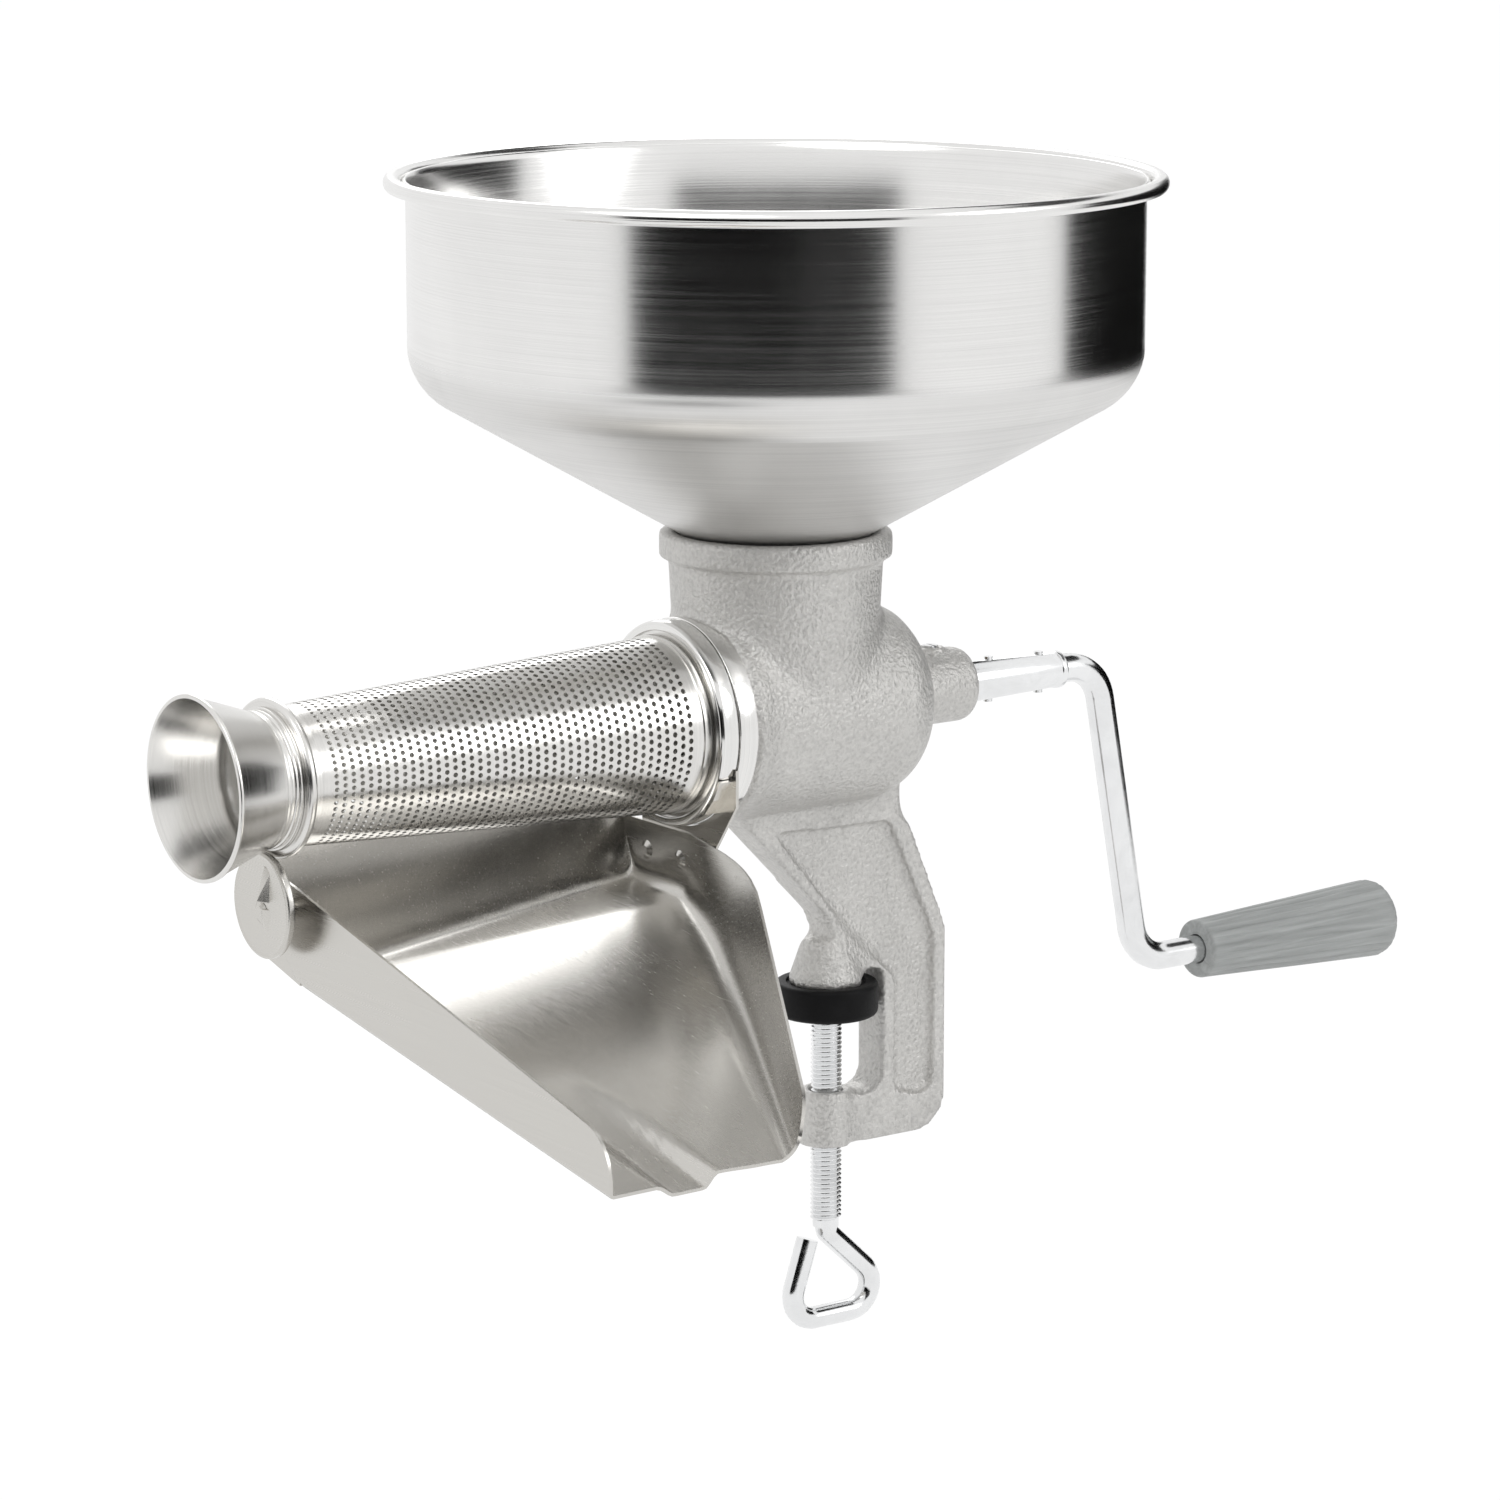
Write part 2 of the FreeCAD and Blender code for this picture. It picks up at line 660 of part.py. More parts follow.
# Lock ring: holds the sieve flange on the barrel, with a track and entry slots for the bayonet pins.
def make_lock_ring():
    body = new_body("lock_ring")
    bore = "spigot_radius + loose_gap"
    back = "-collar_front - loose_gap"
    turn(body, outline(body, "ring_section", "XZ_Plane", [
        ("-ring_front", "ring_lip_radius"),
        ("-ring_front", "ring_radius", "ring_round"),
        (back, "ring_radius"),
        (back, bore),
        ("-pin_place + ring_track_half", bore),
        ("-pin_place + ring_track_half", "ring_track_radius"),
        ("-pin_place - ring_track_half", "ring_track_radius"),
        ("-pin_place - ring_track_half", bore),
        ("-ring_front + ring_lip", bore),
        ("-ring_front + ring_lip", "ring_lip_radius"),
    ]))
    slot = pocket(body, outline(body, "entry_slot", "YZ_Plane", [
        ("-ring_track_half", "-ring_track_radius"),
        ("ring_track_half", "-ring_track_radius"),
        ("ring_track_half", "-spigot_radius"),
        ("-ring_track_half", "-spigot_radius"),
    ], ("0", "0", back)), "pin_place - collar_front - loose_gap")
    polar(body, slot, "pin_count")
    return body


# A straight pin, placed about the barrel and turned about its axis.
def make_pin(name, radius, length, place, turned):
    pin = doc.addObject("Part::Cylinder", name)
    pin.setExpression(".Radius", formula(radius))
    pin.setExpression(".Height", formula(length))
    pin.Placement = FreeCAD.Placement(FreeCAD.Vector(), FreeCAD.Rotation(FreeCAD.Vector(1, 0, 0), turned))
    for axis, text in zip("xyz", place):
        pin.setExpression(".Placement.Base." + axis, formula(text))
    return pin


def gather(name, members):
    group = doc.addObject("Part::Compound", name)
    group.Label = name
    group.Links = members
    doc.recompute()
    return group


def make_bayonet_pins():
    pins = []
    count = int(amount_of("pin_count"))
    for i in range(count):
        turned = 360.0 * i / count
        pins.append(make_pin("bayonet_pin_%d" % i, "pin_radius", "pin_tip_radius - pin_root_radius", (
            "-screw_offset - pin_place",
            "-pin_root_radius * sin(%.6f)" % turned,
            "axis_height + pin_root_radius * cos(%.6f)" % turned,
        ), turned))
    return gather("bayonet_pins", pins)


# Sieve: the perforated cone, its rear flange and its front collar.
def make_sieve_screen():
    body = new_body("sieve_screen")
    turn(body, outline(body, "screen_section", "XZ_Plane", [
        ("-sieve_front", "sieve_front_radius - sieve_sheet"),
        ("-sieve_rear", "sieve_rear_radius - sieve_sheet"),
        ("-sieve_rear", "sieve_rear_radius"),
        ("-sieve_front", "sieve_front_radius"),
    ]))
    return body


def make_sieve_flange():
    body = new_body("sieve_flange")
    front = "-spigot_front - flange_thickness"
    turn(body, outline(body, "flange_section", "XZ_Plane", [
        ("-sieve_rear", "sieve_rear_radius - sieve_sheet"),
        ("-spigot_front", "sieve_rear_radius - sieve_sheet"),
        ("-spigot_front", "spigot_radius"),
        (front, "spigot_radius"),
        (front, "flange_band_radius"),
        ("-sieve_rear", "flange_band_radius"),
    ]))
    return body


def make_sieve_collar():
    body = new_body("sieve_collar")
    turn(body, outline(body, "collar_section", "XZ_Plane", [
        ("-bead_front", "collar_bore_radius"),
        ("-sieve_front", "collar_bore_radius"),
        ("-sieve_front", "sieve_front_radius"),
        ("-bead_rear", "sieve_front_radius"),
        ("-bead_rear", "bead_radius", "bead_round"),
        ("-bead_front", "bead_radius", "bead_round"),
    ]))
    return body


def make_outlet_cone():
    body = new_body("outlet_cone")
    turn(body, outline(body, "outlet_section", "XZ_Plane", [
        ("-outlet_front", "outlet_radius - outlet_sheet"),
        ("-outlet_neck", "outlet_neck_radius - outlet_sheet"),
        ("-bead_front", "outlet_neck_radius - outlet_sheet"),
        ("-bead_front", "outlet_step_radius"),
        ("-outlet_step", "outlet_step_radius"),
        ("-outlet_step", "outlet_neck_radius"),
        ("-outlet_neck", "outlet_neck_radius"),
        ("-outlet_front + outlet_rim", "outlet_radius - outlet_sheet / 2"),
        ("-outlet_front + outlet_rim", "outlet_radius"),
        ("-outlet_front", "outlet_radius"),
    ]))
    return body


# Drip tray: a folded sheet, drawn as five U-shaped sections from its back edge to its lip. The back wall leans,
# and its foot runs from the left wall's fold to the right rear corner.
# Each section gives its place, the drops of the floor and the top edges, and the right wall's two places.
TRAY_SECTIONS = (
    ("back", "-tray_back", "back_floor_left", "back_floor_right", "back_top_left", "back_top_right",
     "fold_right", "fold_right"),
    ("foot", "-tray_foot", "foot_floor_left", "foot_floor_right", "foot_top_left", "fold_top_right",
     "fold_right", "fold_right"),
    ("fold", "tray_fold", "fold_floor_left", "fold_floor_right", "fold_top_left", "fold_top_right",
     "fold_right", "fold_right"),
    ("flare", "tray_flare", "flare_floor_left", "flare_floor_right", "flare_top_left", "flare_top_right",
     "flare_right", "flare_top_place"),
    ("lip", "tray_lip", "lip_floor", "lip_floor_right", "lip_top_left", "lip_top_right",
     "lip_right", "lip_top_place"),
)
BEHIND_CREASE = ("back", "foot")
# The floor's corners from the left wall: the crease of the back wall, then the two ribs of the lip.
FLOOR_CORNERS = (
    ("tray_left - crease_inset", "0"),
    ("rib_left", "0"),
    ("rib_left - rib_side", "rib_depth"),
    ("rib_left - rib_side - rib_width", "rib_depth"),
    ("rib_left - 2 * rib_side - rib_width", "-rib_step"),
)


def tray_section(body, data, inside):
    name, place, floor, floor_right, top, top_right, right, right_top = data
    wall = "tray_sheet" if inside else "0"
    rise = "tray_sheet" if inside else "0"
    above = "tray_open" if inside else "0"
    if inside and name in BEHIND_CREASE:
        place += " + tray_sheet"
    if inside and name == "lip":
        place = "tray_lip + tray_open"
    ribs = []
    for index, (reach, depth) in enumerate(FLOOR_CORNERS):
        if name in BEHIND_CREASE:
            reach = "fold_right + crease_strip * %d / %d" % (len(FLOOR_CORNERS) - index, len(FLOOR_CORNERS))
            drop = floor_right
        elif name == "lip":
            drop = "%s + %s" % (floor, depth)
        else:
            drop = "%s + (%s - %s) * (tray_left - (%s)) / (tray_left - %s)" % (
                floor, floor_right, floor, reach, right)
        ribs.append(("-(%s)" % reach, "-(%s) + %s" % (drop, rise)))
    corners = [("-tray_left + " + wall, "-%s + %s" % (floor, rise))]
    corners += ribs
    corners += [
        ("-%s - %s" % (right, wall), "-%s + %s" % (floor_right, rise)),
        ("-%s - %s" % (right_top, wall), "-%s + %s" % (top_right, above)),
        ("-tray_left + " + wall, "-%s + %s" % (top, above)),
    ]
    label = "tray_%s_%s" % (name, "inside" if inside else "outside")
    return outline(body, label, "XZ_Plane", corners, ("0", "0", place))


def make_drip_tray():
    body = new_body("drip_tray")
    loft(body, "tray_outer", [tray_section(body, data, False) for data in TRAY_SECTIONS])
    loft(body, "tray_hollow", [tray_section(body, data, True) for data in TRAY_SECTIONS], cut=True)
    pad(body, outline(body, "tray_wall_end", "YZ_Plane", [
        ("-tray_fold", "-fold_floor_left"),
        ("wall_end", "-wall_end_drop"),
        ("wall_end", "-wall_end_top"),
        ("-tray_fold", "-latch_drop"),
    ], ("0", "0", "-tray_left")), "tray_sheet")
    slope = "((lip_top_left - flare_top_left) / (tray_lip - tray_flare))"
    pocket(body, outline(body, "tray_corner", "YZ_Plane", [
        ("-tray_lip", "-lip_top_left - 2 * lip_corner_round"),
        ("-tray_lip - tray_open", "-lip_top_left - 2 * lip_corner_round"),
        ("-tray_lip - tray_open", "-lip_top_left + 2 * lip_corner_round"),
        ("-tray_lip + 2 * lip_corner_round", "-lip_top_left + 2 * lip_corner_round"),
        ("-tray_lip + 2 * lip_corner_round", "-lip_top_left + 2 * lip_corner_round * " + slope),
        ("-tray_lip", "-lip_top_left", "lip_corner_round"),
    ], ("0", "0", "-tray_left + 2 * tray_sheet")), "3 * tray_sheet")
    for side in RIVET_SIDES:
        name = "tray_rivet_hole_%s" % ("front" if side < 0 else "back")
        pocket(body, disc(body, name, "YZ_Plane", "rivet_middle + %d * rivet_spread" % side, "-rivet_drop",
                          "rivet_radius + running_gap", ("0", "0", "-fold_right")), "2 * tray_sheet")
    pocket(body, disc(body, "latch_stud_hole", "YZ_Plane", "0", "-latch_drop", "stud_radius + running_gap",
                      ("0", "0", "-tray_left + tray_sheet")), "2 * tray_sheet")
    return body


# Tray hook: a plate riveted to the tray's right wall, cut to hug the ring, with an ear over the lock ring.
def make_tray_hook():
    body = new_body("tray_hook")
    at_wall = ("0", "0", "-fold_right")
    pad(body, outline(body, "hook_plate", "YZ_Plane", [
        ("0", "0"),
        ("-hook_front", "-hook_high_drop"),
        ("-hook_front", "-hook_low_drop"),
        ("-hook_foot_front", "-hook_foot_drop"),
        ("hook_foot_back", "-hook_foot_drop"),
        ("hook_foot_back", "0"),
    ], at_wall), "hook_sheet")
    ear = "(ring_radius + loose_gap + hook_sheet)"
    pad(body, outline(body, "hook_ear", "YZ_Plane", [
        ("0", "0"),
        ("-%s * cos(ear_first_angle)" % ear, "-%s * sin(ear_first_angle)" % ear),
        ("-%s * cos(ear_middle_angle)" % ear, "-%s * sin(ear_middle_angle)" % ear),
        ("-%s * cos(ear_last_angle)" % ear, "-%s * sin(ear_last_angle)" % ear),
    ], at_wall), "hook_ear_length", reverse=True)
    pocket(body, disc(body, "hook_seat", "YZ_Plane", "0", "0", "ring_radius + loose_gap", at_wall),
           "4 * hook_ear_length", symmetric=True)
    for side in RIVET_SIDES:
        name = "hook_rivet_hole_%s" % ("front" if side < 0 else "back")
        pocket(body, disc(body, name, "YZ_Plane", "rivet_middle + %d * rivet_spread" % side, "-rivet_drop",
                          "rivet_radius + running_gap", at_wall), "4 * hook_sheet", symmetric=True)
    return body


def make_tray_rivets():
    rivets = []
    inner = "-fold_right - tray_sheet"
    outer = "-fold_right + hook_sheet"
    for side in RIVET_SIDES:
        body = new_body("tray_rivet_%s" % ("front" if side < 0 else "back"))
        turn(body, outline(body, body.Name + "_section", "XZ_Plane", [
            (inner + " - rivet_head", "0"),
            (inner + " - rivet_head", "rivet_radius"),
            (inner, "rivet_head_radius"),
            (inner, "rivet_radius"),
            (outer, "rivet_radius"),
            (outer, "rivet_head_radius"),
            (outer + " + rivet_head", "rivet_radius"),
            (outer + " + rivet_head", "0"),
        ], ("0", "-rivet_drop", "-(rivet_middle + %d * rivet_spread)" % side)))
        rivets.append(body)
    return gather("tray_rivets", rivets)


# Tray latch: an eccentric disc that turns on a stud and stands in the groove of the outlet neck.
def make_tray_latch():
    body = new_body("tray_latch")
    middle = "-latch_drop + latch_throw"
    face = ("0", "0", "-latch_rear - latch_thickness")
    turn(body, outline(body, "latch_disc", "XZ_Plane", [
        ("-latch_rear - latch_thickness", "0"),
        ("-latch_rear - latch_thickness", "latch_radius", "latch_round"),
        ("-latch_rear", "latch_radius", "latch_round"),
        ("-latch_rear", "0"),
    ], ("0", middle, "0")))
    for side in WING_SIDES:
        root = "-latch_drop + %d * (stud_head_radius + running_gap)" % side
        name = "latch_wing_%s" % ("low" if side < 0 else "high")
        across = "%d * wing_width / 4" % side
        pad(body, outline(body, name, "YZ_Plane", [
            (across + " - wing_width / 2", root),
            (across + " + wing_width / 2", root),
            (across + " + wing_width / 2", root + " + %d * wing_length" % side, "wing_width / 3"),
            (across + " - wing_width / 2", root + " + %d * wing_length" % side, "wing_width / 3"),
        ], face), "wing_height", reverse=True)
    pocket(body, disc(body, "latch_pivot", "YZ_Plane", "0", "-latch_drop", "stud_radius + running_gap",
                      face), "2 * latch_thickness", reverse=True)
    return body


def make_latch_stud():
    body = new_body("latch_stud")
    head = "-latch_rear - latch_thickness - stud_play"
    inside = "-tray_left + tray_sheet"
    turn(body, outline(body, "stud_section", "XZ_Plane", [
        (head + " - stud_head", "0"),
        (head + " - stud_head", "stud_radius"),
        (head, "stud_head_radius"),
        (head, "stud_radius"),
        ("-latch_rear + stud_play", "stud_radius"),
        ("-latch_rear + stud_play", "stud_head_radius"),
        ("-tray_left", "stud_head_radius"),
        ("-tray_left", "stud_radius"),
        (inside, "stud_radius"),
        (inside, "stud_head_radius"),
        (inside + " + stud_head", "stud_radius"),
        (inside + " + stud_head", "0"),
    ], ("0", "-latch_drop", "0")))
    return body


# Auger: a tapered hub with one flight, straight in the barrel and tapered in the sieve.
def wind_flight(body, name, start, inner, outer, height, taper):
    profile = outline(body, name, "XZ_Plane", [
        (start + " - auger_flight", inner),
        (start, inner),
        (start, outer),
        (start + " - auger_flight", outer),
    ])
    flight = body.newObject("PartDesign::AdditiveHelix", name + "_wound")
    flight.Profile = profile
    flight.ReferenceAxis = (profile, ["H_Axis"])
    flight.Mode = 0
    flight.setExpression(".Pitch", formula("auger_pitch"))
    flight.setExpression(".Height", formula(height))
    flight.setExpression(".Angle", formula(taper))
    flight.Reversed = True
    doc.recompute()
    return flight


def make_auger():
    body = new_body("auger")
    back = "(bore_back - washer_thickness - loose_gap)"
    turn(body, outline(body, "auger_hub", "XZ_Plane", [
        ("-auger_front", "0"),
        (back, "0"),
        (back, "auger_hub_radius"),
        ("-auger_front", "auger_tip_radius"),
    ]))
    straight = "(barrel_turns * auger_pitch)"
    outer = "barrel_bore_radius - auger_gap"
    wind_flight(body, "barrel_flight", back, "auger_tip_radius", outer, straight, "0")
    slope = "(sieve_rear_radius - sieve_front_radius) / (sieve_front - sieve_rear)"
    wind_flight(body, "sieve_flight", "(%s - %s)" % (back, straight), "auger_tip_radius", outer,
                "auger_front + %s - %s - auger_flight" % (back, straight), "-atan(%s)" % slope)
    turn(body, outline(body, "auger_bore", "XZ_Plane", [
        ("-shaft_front - running_gap", "0"),
        (back + " + cut_past", "0"),
        (back + " + cut_past", "shaft_radius + running_gap"),
        ("-shaft_front - running_gap", "shaft_radius + running_gap"),
    ]), cut=True)
    return body


# A cross hole for a pin that stands upright through the barrel axis.
def cross_hole(body, name, place):
    pocket(body, disc(body, name, "XY_Plane", place, "0", "socket_pin_radius + running_gap"),
           "4 * socket_front_radius", symmetric=True)


def make_auger_shaft():
    body = new_body("auger_shaft")
    turn(body, outline(body, "shaft_section", "XZ_Plane", [
        ("-shaft_front", "0"),
        ("-shaft_front", "shaft_radius"),
        ("boss_back", "shaft_radius"),
        ("boss_back", "rod_radius"),
        ("shaft_back", "rod_radius"),
        ("shaft_back", "0"),
    ]))
    cross_hole(body, "shaft_pin_hole", "socket_pin_one")
    return body


def make_thrust_washer():
    return ring("thrust_washer", "shaft_radius + loose_gap", "washer_radius",
                "bore_back - washer_thickness", "bore_back")


def make_shaft_seal():
    return ring("shaft_seal", "shaft_radius + running_gap", "seal_radius - running_gap",
                "seal_front", "seal_back")


def make_shaft_bush():
    return ring("shaft_bush", "shaft_radius + running_gap", "bush_radius - running_gap",
                "seal_back", "boss_back")


# Oil screw: a slotted plug in the pad on top of the rear boss.
def make_oil_screw():
    body = new_body("oil_screw")
    top = "(oil_pad_top + oil_screw_proud)"
    turn(body, outline(body, "oil_screw_section", "XZ_Plane", [
        ("0", top + " - oil_screw_length"),
        ("oil_screw_radius", top + " - oil_screw_length"),
        ("oil_screw_radius", top),
        ("0", top),
    ], ("oil_pad_place", "0", "0")), "V_Axis")
    pocket(body, outline(body, "oil_screw_slot", "XY_Plane", [
        ("oil_pad_place - oil_slot / 2", "-2 * oil_screw_radius"),
        ("oil_pad_place + oil_slot / 2", "-2 * oil_screw_radius"),
        ("oil_pad_place + oil_slot / 2", "2 * oil_screw_radius"),
        ("oil_pad_place - oil_slot / 2", "2 * oil_screw_radius"),
    ], ("0", "0", top)), "oil_slot")
    return body


# Crank socket: a tapered sleeve with an end lip, pinned to the shaft and to the crank arm.
def make_crank_socket():
    body = new_body("crank_socket")
    turn(body, outline(body, "socket_section", "XZ_Plane", [
        ("boss_back + loose_gap", "rod_radius + running_gap"),
        ("boss_back + loose_gap", "socket_front_radius"),
        ("socket_back", "socket_back_radius"),
        ("socket_back", "socket_lip_radius"),
        ("socket_back + socket_lip", "socket_lip_radius"),
        ("socket_back + socket_lip", "rod_radius + running_gap"),
    ]))
    cross_hole(body, "socket_hole_one", "socket_pin_one")
    cross_hole(body, "socket_hole_two", "socket_pin_two")
    return body


def make_socket_pins():
    pins = []
    taper = "(socket_front_radius - socket_back_radius) / (socket_back - boss_back)"
    for number, place in enumerate(("socket_pin_one", "socket_pin_two"), start=1):
        reach = "(socket_front_radius - (%s - boss_back) * %s + socket_pin_proud)" % (place, taper)
        pins.append(make_pin("socket_pin_%d" % number, "socket_pin_radius", "2 * " + reach, (
            place + " - screw_offset", "0", "axis_height - " + reach), 0.0))
    return gather("socket_pins", pins)


# Crank arm: one rod, bent twice, that ends inside the grip with a groove for its clip.
CLIP_PLACE = "(grip_back - grip_wall - clip_inset)"
AT_GRIP = ("0", "-crank_throw", "0")


def make_crank_arm():
    body = new_body("crank_arm")
    start = "shaft_back + loose_gap"
    route = path(body, "crank_route", "XZ_Plane", [
        (start, "0"),
        ("crank_elbow", "0", "crank_bend"),
        ("crank_elbow + crank_splay", "-crank_throw", "crank_bend"),
        ("grip_back - grip_wall", "-crank_throw"),
    ])
    sweep(body, disc(body, "crank_rod", "YZ_Plane", "0", "0", "rod_radius", ("0", "0", start)), route)
    turn(body, outline(body, "clip_groove", "XZ_Plane", [
        (CLIP_PLACE + " - running_gap", "clip_neck_radius"),
        (CLIP_PLACE + " + clip_thickness + running_gap", "clip_neck_radius"),
        (CLIP_PLACE + " + clip_thickness + running_gap", "2 * rod_radius"),
        (CLIP_PLACE + " - running_gap", "2 * rod_radius"),
    ], AT_GRIP), cut=True)
    cross_hole(body, "arm_pin_hole", "socket_pin_two")
    return body


def make_grip_clip():
    body = new_body("grip_clip")
    turn(body, outline(body, "clip_section", "XZ_Plane", [
        (CLIP_PLACE, "clip_neck_radius + running_gap"),
        (CLIP_PLACE + " + clip_thickness", "clip_neck_radius + running_gap"),
        (CLIP_PLACE + " + clip_thickness", "clip_radius"),
        (CLIP_PLACE, "clip_radius"),
    ], AT_GRIP))
    return body


def make_crank_grip():
    body = new_body("crank_grip")
    bore = "rod_radius + running_gap"
    end = "grip_back - grip_wall + loose_gap"
    turn(body, outline(body, "grip_section", "XZ_Plane", [
        ("grip_front", bore),
        (CLIP_PLACE + " - loose_gap", bore),
        (CLIP_PLACE + " - loose_gap", "clip_radius + loose_gap"),
        (CLIP_PLACE + " + clip_thickness + loose_gap", "clip_radius + loose_gap"),
        (CLIP_PLACE + " + clip_thickness + loose_gap", bore),
        (end, bore),
        (end, "0"),
        ("grip_back", "0"),
        ("grip_back", "grip_large_radius", "grip_large_round"),
        ("grip_front", "grip_small_radius", "grip_small_round"),
    ], AT_GRIP))
    return body


# Clamp screw: a threaded rod with a necked tip for the pad and a bent eye for turning it.
AT_SCREW = ("screw_offset", "0", "0")
PAD_BASE = "(axis_height - pad_rim + pad_height)"


def make_clamp_screw():
    body = new_body("clamp_screw")
    shoulder = "-%s - loose_gap" % PAD_BASE
    groove = "-%s + pad_floor" % PAD_BASE
    tip = "-%s + pad_floor + pad_cavity_height - loose_gap" % PAD_BASE
    turn(body, outline(body, "screw_section", "XZ_Plane", [
        ("0", "-screw_bottom"),
        ("screw_radius", "-screw_bottom"),
        ("screw_radius", shoulder),
        ("screw_neck_radius", shoulder),
        ("screw_neck_radius", groove),
        ("screw_groove_radius", groove),
        ("screw_groove_radius", groove + " + 2 * retainer_thickness"),
        ("screw_neck_radius", groove + " + 2 * retainer_thickness"),
        ("screw_neck_radius", tip),
        ("0", tip),
    ], AT_SCREW), "V_Axis")
    route = path(body, "eye_route", "XZ_Plane", [
        ("0", "-screw_bottom + eye_rod_radius"),
        ("0", "-eye_turn", "eye_shoulder"),
        ("eye_right", "-eye_bottom", "eye_round"),
        ("-eye_left", "-eye_bottom", "eye_round"),
        ("-eye_end_side", "-eye_end_drop"),
    ], AT_SCREW)
    sweep(body, disc(body, "eye_rod", "XY_Plane", "screw_offset", "0", "eye_rod_radius",
                     ("0", "0", "-screw_bottom + eye_rod_radius")), route)
    return body


# Clamp pad: a rubber cup round the foot, with a cavity where the screw's neck is held by a retainer.
def make_clamp_pad():
    body = new_body("clamp_pad")
    base = "-" + PAD_BASE
    cavity = base + " + pad_floor"
    turn(body, outline(body, "pad_section", "XZ_Plane", [
        ("0", "-axis_height - loose_gap"),
        ("pad_recess_radius", "-axis_height - loose_gap"),
        ("pad_recess_radius", "-axis_height + pad_rim"),
        ("pad_radius", "-axis_height + pad_rim", "pad_round"),
        ("pad_radius", base, "pad_round"),
        ("screw_neck_radius + running_gap", base),
        ("screw_neck_radius + running_gap", cavity),
        ("pad_cavity_radius", cavity),
        ("pad_cavity_radius", cavity + " + pad_cavity_height"),
        ("0", cavity + " + pad_cavity_height"),
    ], AT_SCREW), "V_Axis")
    return body


def make_pad_retainer():
    body = new_body("pad_retainer")
    floor = "-%s + pad_floor" % PAD_BASE
    turn(body, outline(body, "retainer_section", "XZ_Plane", [
        ("screw_groove_radius + running_gap", floor),
        ("retainer_radius", floor),
        ("retainer_radius", floor + " + retainer_thickness"),
        ("screw_groove_radius + running_gap", floor + " + retainer_thickness"),
    ], AT_SCREW), "V_Axis")
    return body


pieces = [
    make_cast_body(),
    make_hopper(),
    make_lock_ring(),
    make_bayonet_pins(),
    make_sieve_screen(),
    make_sieve_flange(),
    make_sieve_collar(),
    make_outlet_cone(),
    make_drip_tray(),
    make_tray_hook(),
    make_tray_rivets(),
    make_tray_latch(),
    make_latch_stud(),
    make_auger(),
    make_auger_shaft(),
    make_thrust_washer(),
    make_shaft_seal(),
    make_shaft_bush(),
    make_oil_screw(),
    make_crank_socket(),
    make_socket_pins(),
    make_crank_arm(),
    make_grip_clip(),
    make_crank_grip(),
    make_clamp_screw(),
    make_clamp_pad(),
    make_pad_retainer(),
]

doc.recompute()
for item in doc.Objects:
    if "Invalid" in item.State or "Error" in item.State:
        raise ValueError("%s failed: %s" % (item.Name, item.State))
for piece in pieces:
    if piece.Shape.isNull() or not piece.Shape.isValid():
        raise ValueError(piece.Label + " has no valid shape")

os.makedirs("parts", exist_ok=True)
for piece in pieces:
    piece.Shape.exportStep("parts/%s.step" % piece.Label)
    print(piece.Label, len(piece.Shape.Solids), round(piece.Shape.Volume))
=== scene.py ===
import bmesh
import bpy
import json
import math
from mathutils import Matrix, Vector, kdtree


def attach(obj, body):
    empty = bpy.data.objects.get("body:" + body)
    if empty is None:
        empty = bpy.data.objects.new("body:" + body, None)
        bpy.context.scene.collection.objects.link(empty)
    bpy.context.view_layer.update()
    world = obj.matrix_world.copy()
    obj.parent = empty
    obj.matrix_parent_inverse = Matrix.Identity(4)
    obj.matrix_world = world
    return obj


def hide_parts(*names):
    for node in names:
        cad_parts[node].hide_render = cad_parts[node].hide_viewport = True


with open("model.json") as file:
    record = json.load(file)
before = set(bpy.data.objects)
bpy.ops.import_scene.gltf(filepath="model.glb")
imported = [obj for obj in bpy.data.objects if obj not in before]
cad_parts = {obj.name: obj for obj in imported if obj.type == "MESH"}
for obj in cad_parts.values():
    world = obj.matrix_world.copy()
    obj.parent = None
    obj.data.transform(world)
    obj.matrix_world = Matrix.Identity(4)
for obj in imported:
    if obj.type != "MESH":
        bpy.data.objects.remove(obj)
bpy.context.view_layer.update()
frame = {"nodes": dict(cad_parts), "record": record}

scene = bpy.context.scene
cadNodes = frame["nodes"]
alongBarrel = Vector((1, 0, 0))
upright = Vector((0, 0, 1))
crossingPlace = {"x": -20, "z": 91}  # where the barrel and hopper axes cross, in the frame's millimetres
axisPlaces = {"gripDrop": 102.0, "latchDrop": 37.6, "screwBack": 20.0}  # other axes, from the crossing
weldGap = 1e-6
print("frame loaded:", len(cadNodes), "nodes")


def at(x, y, z):  # millimetres from the crossing of the barrel axis and the hopper axis
    return Vector(((x + crossingPlace["x"]) / 1000, y / 1000, (z + crossingPlace["z"]) / 1000))


crossing = at(0, 0, 0)
# turning centres: a point, the axis and the direction a profile is drawn in
turningAxes = {
    "barrel": (crossing, alongBarrel, upright),
    "grip": (at(0, 0, -axisPlaces["gripDrop"]), alongBarrel, upright),
    "latch": (at(0, 0, -axisPlaces["latchDrop"]), alongBarrel, upright),
    "hopper": (crossing, upright, alongBarrel),
    "screw": (at(axisPlaces["screwBack"], 0, 0), upright, alongBarrel),
}


# steps that the finishes share
def newFinish(name, colour, metal, rough, gloss=0.5):
    finish = bpy.data.materials.new(name)
    finish.use_nodes = True
    shader = finish.node_tree.nodes["Principled BSDF"]
    shader.inputs["Base Color"].default_value = (*colour, 1)
    shader.inputs["Metallic"].default_value = metal
    shader.inputs["Roughness"].default_value = rough
    shader.inputs["Specular IOR Level"].default_value = gloss
    return finish, finish.node_tree, shader


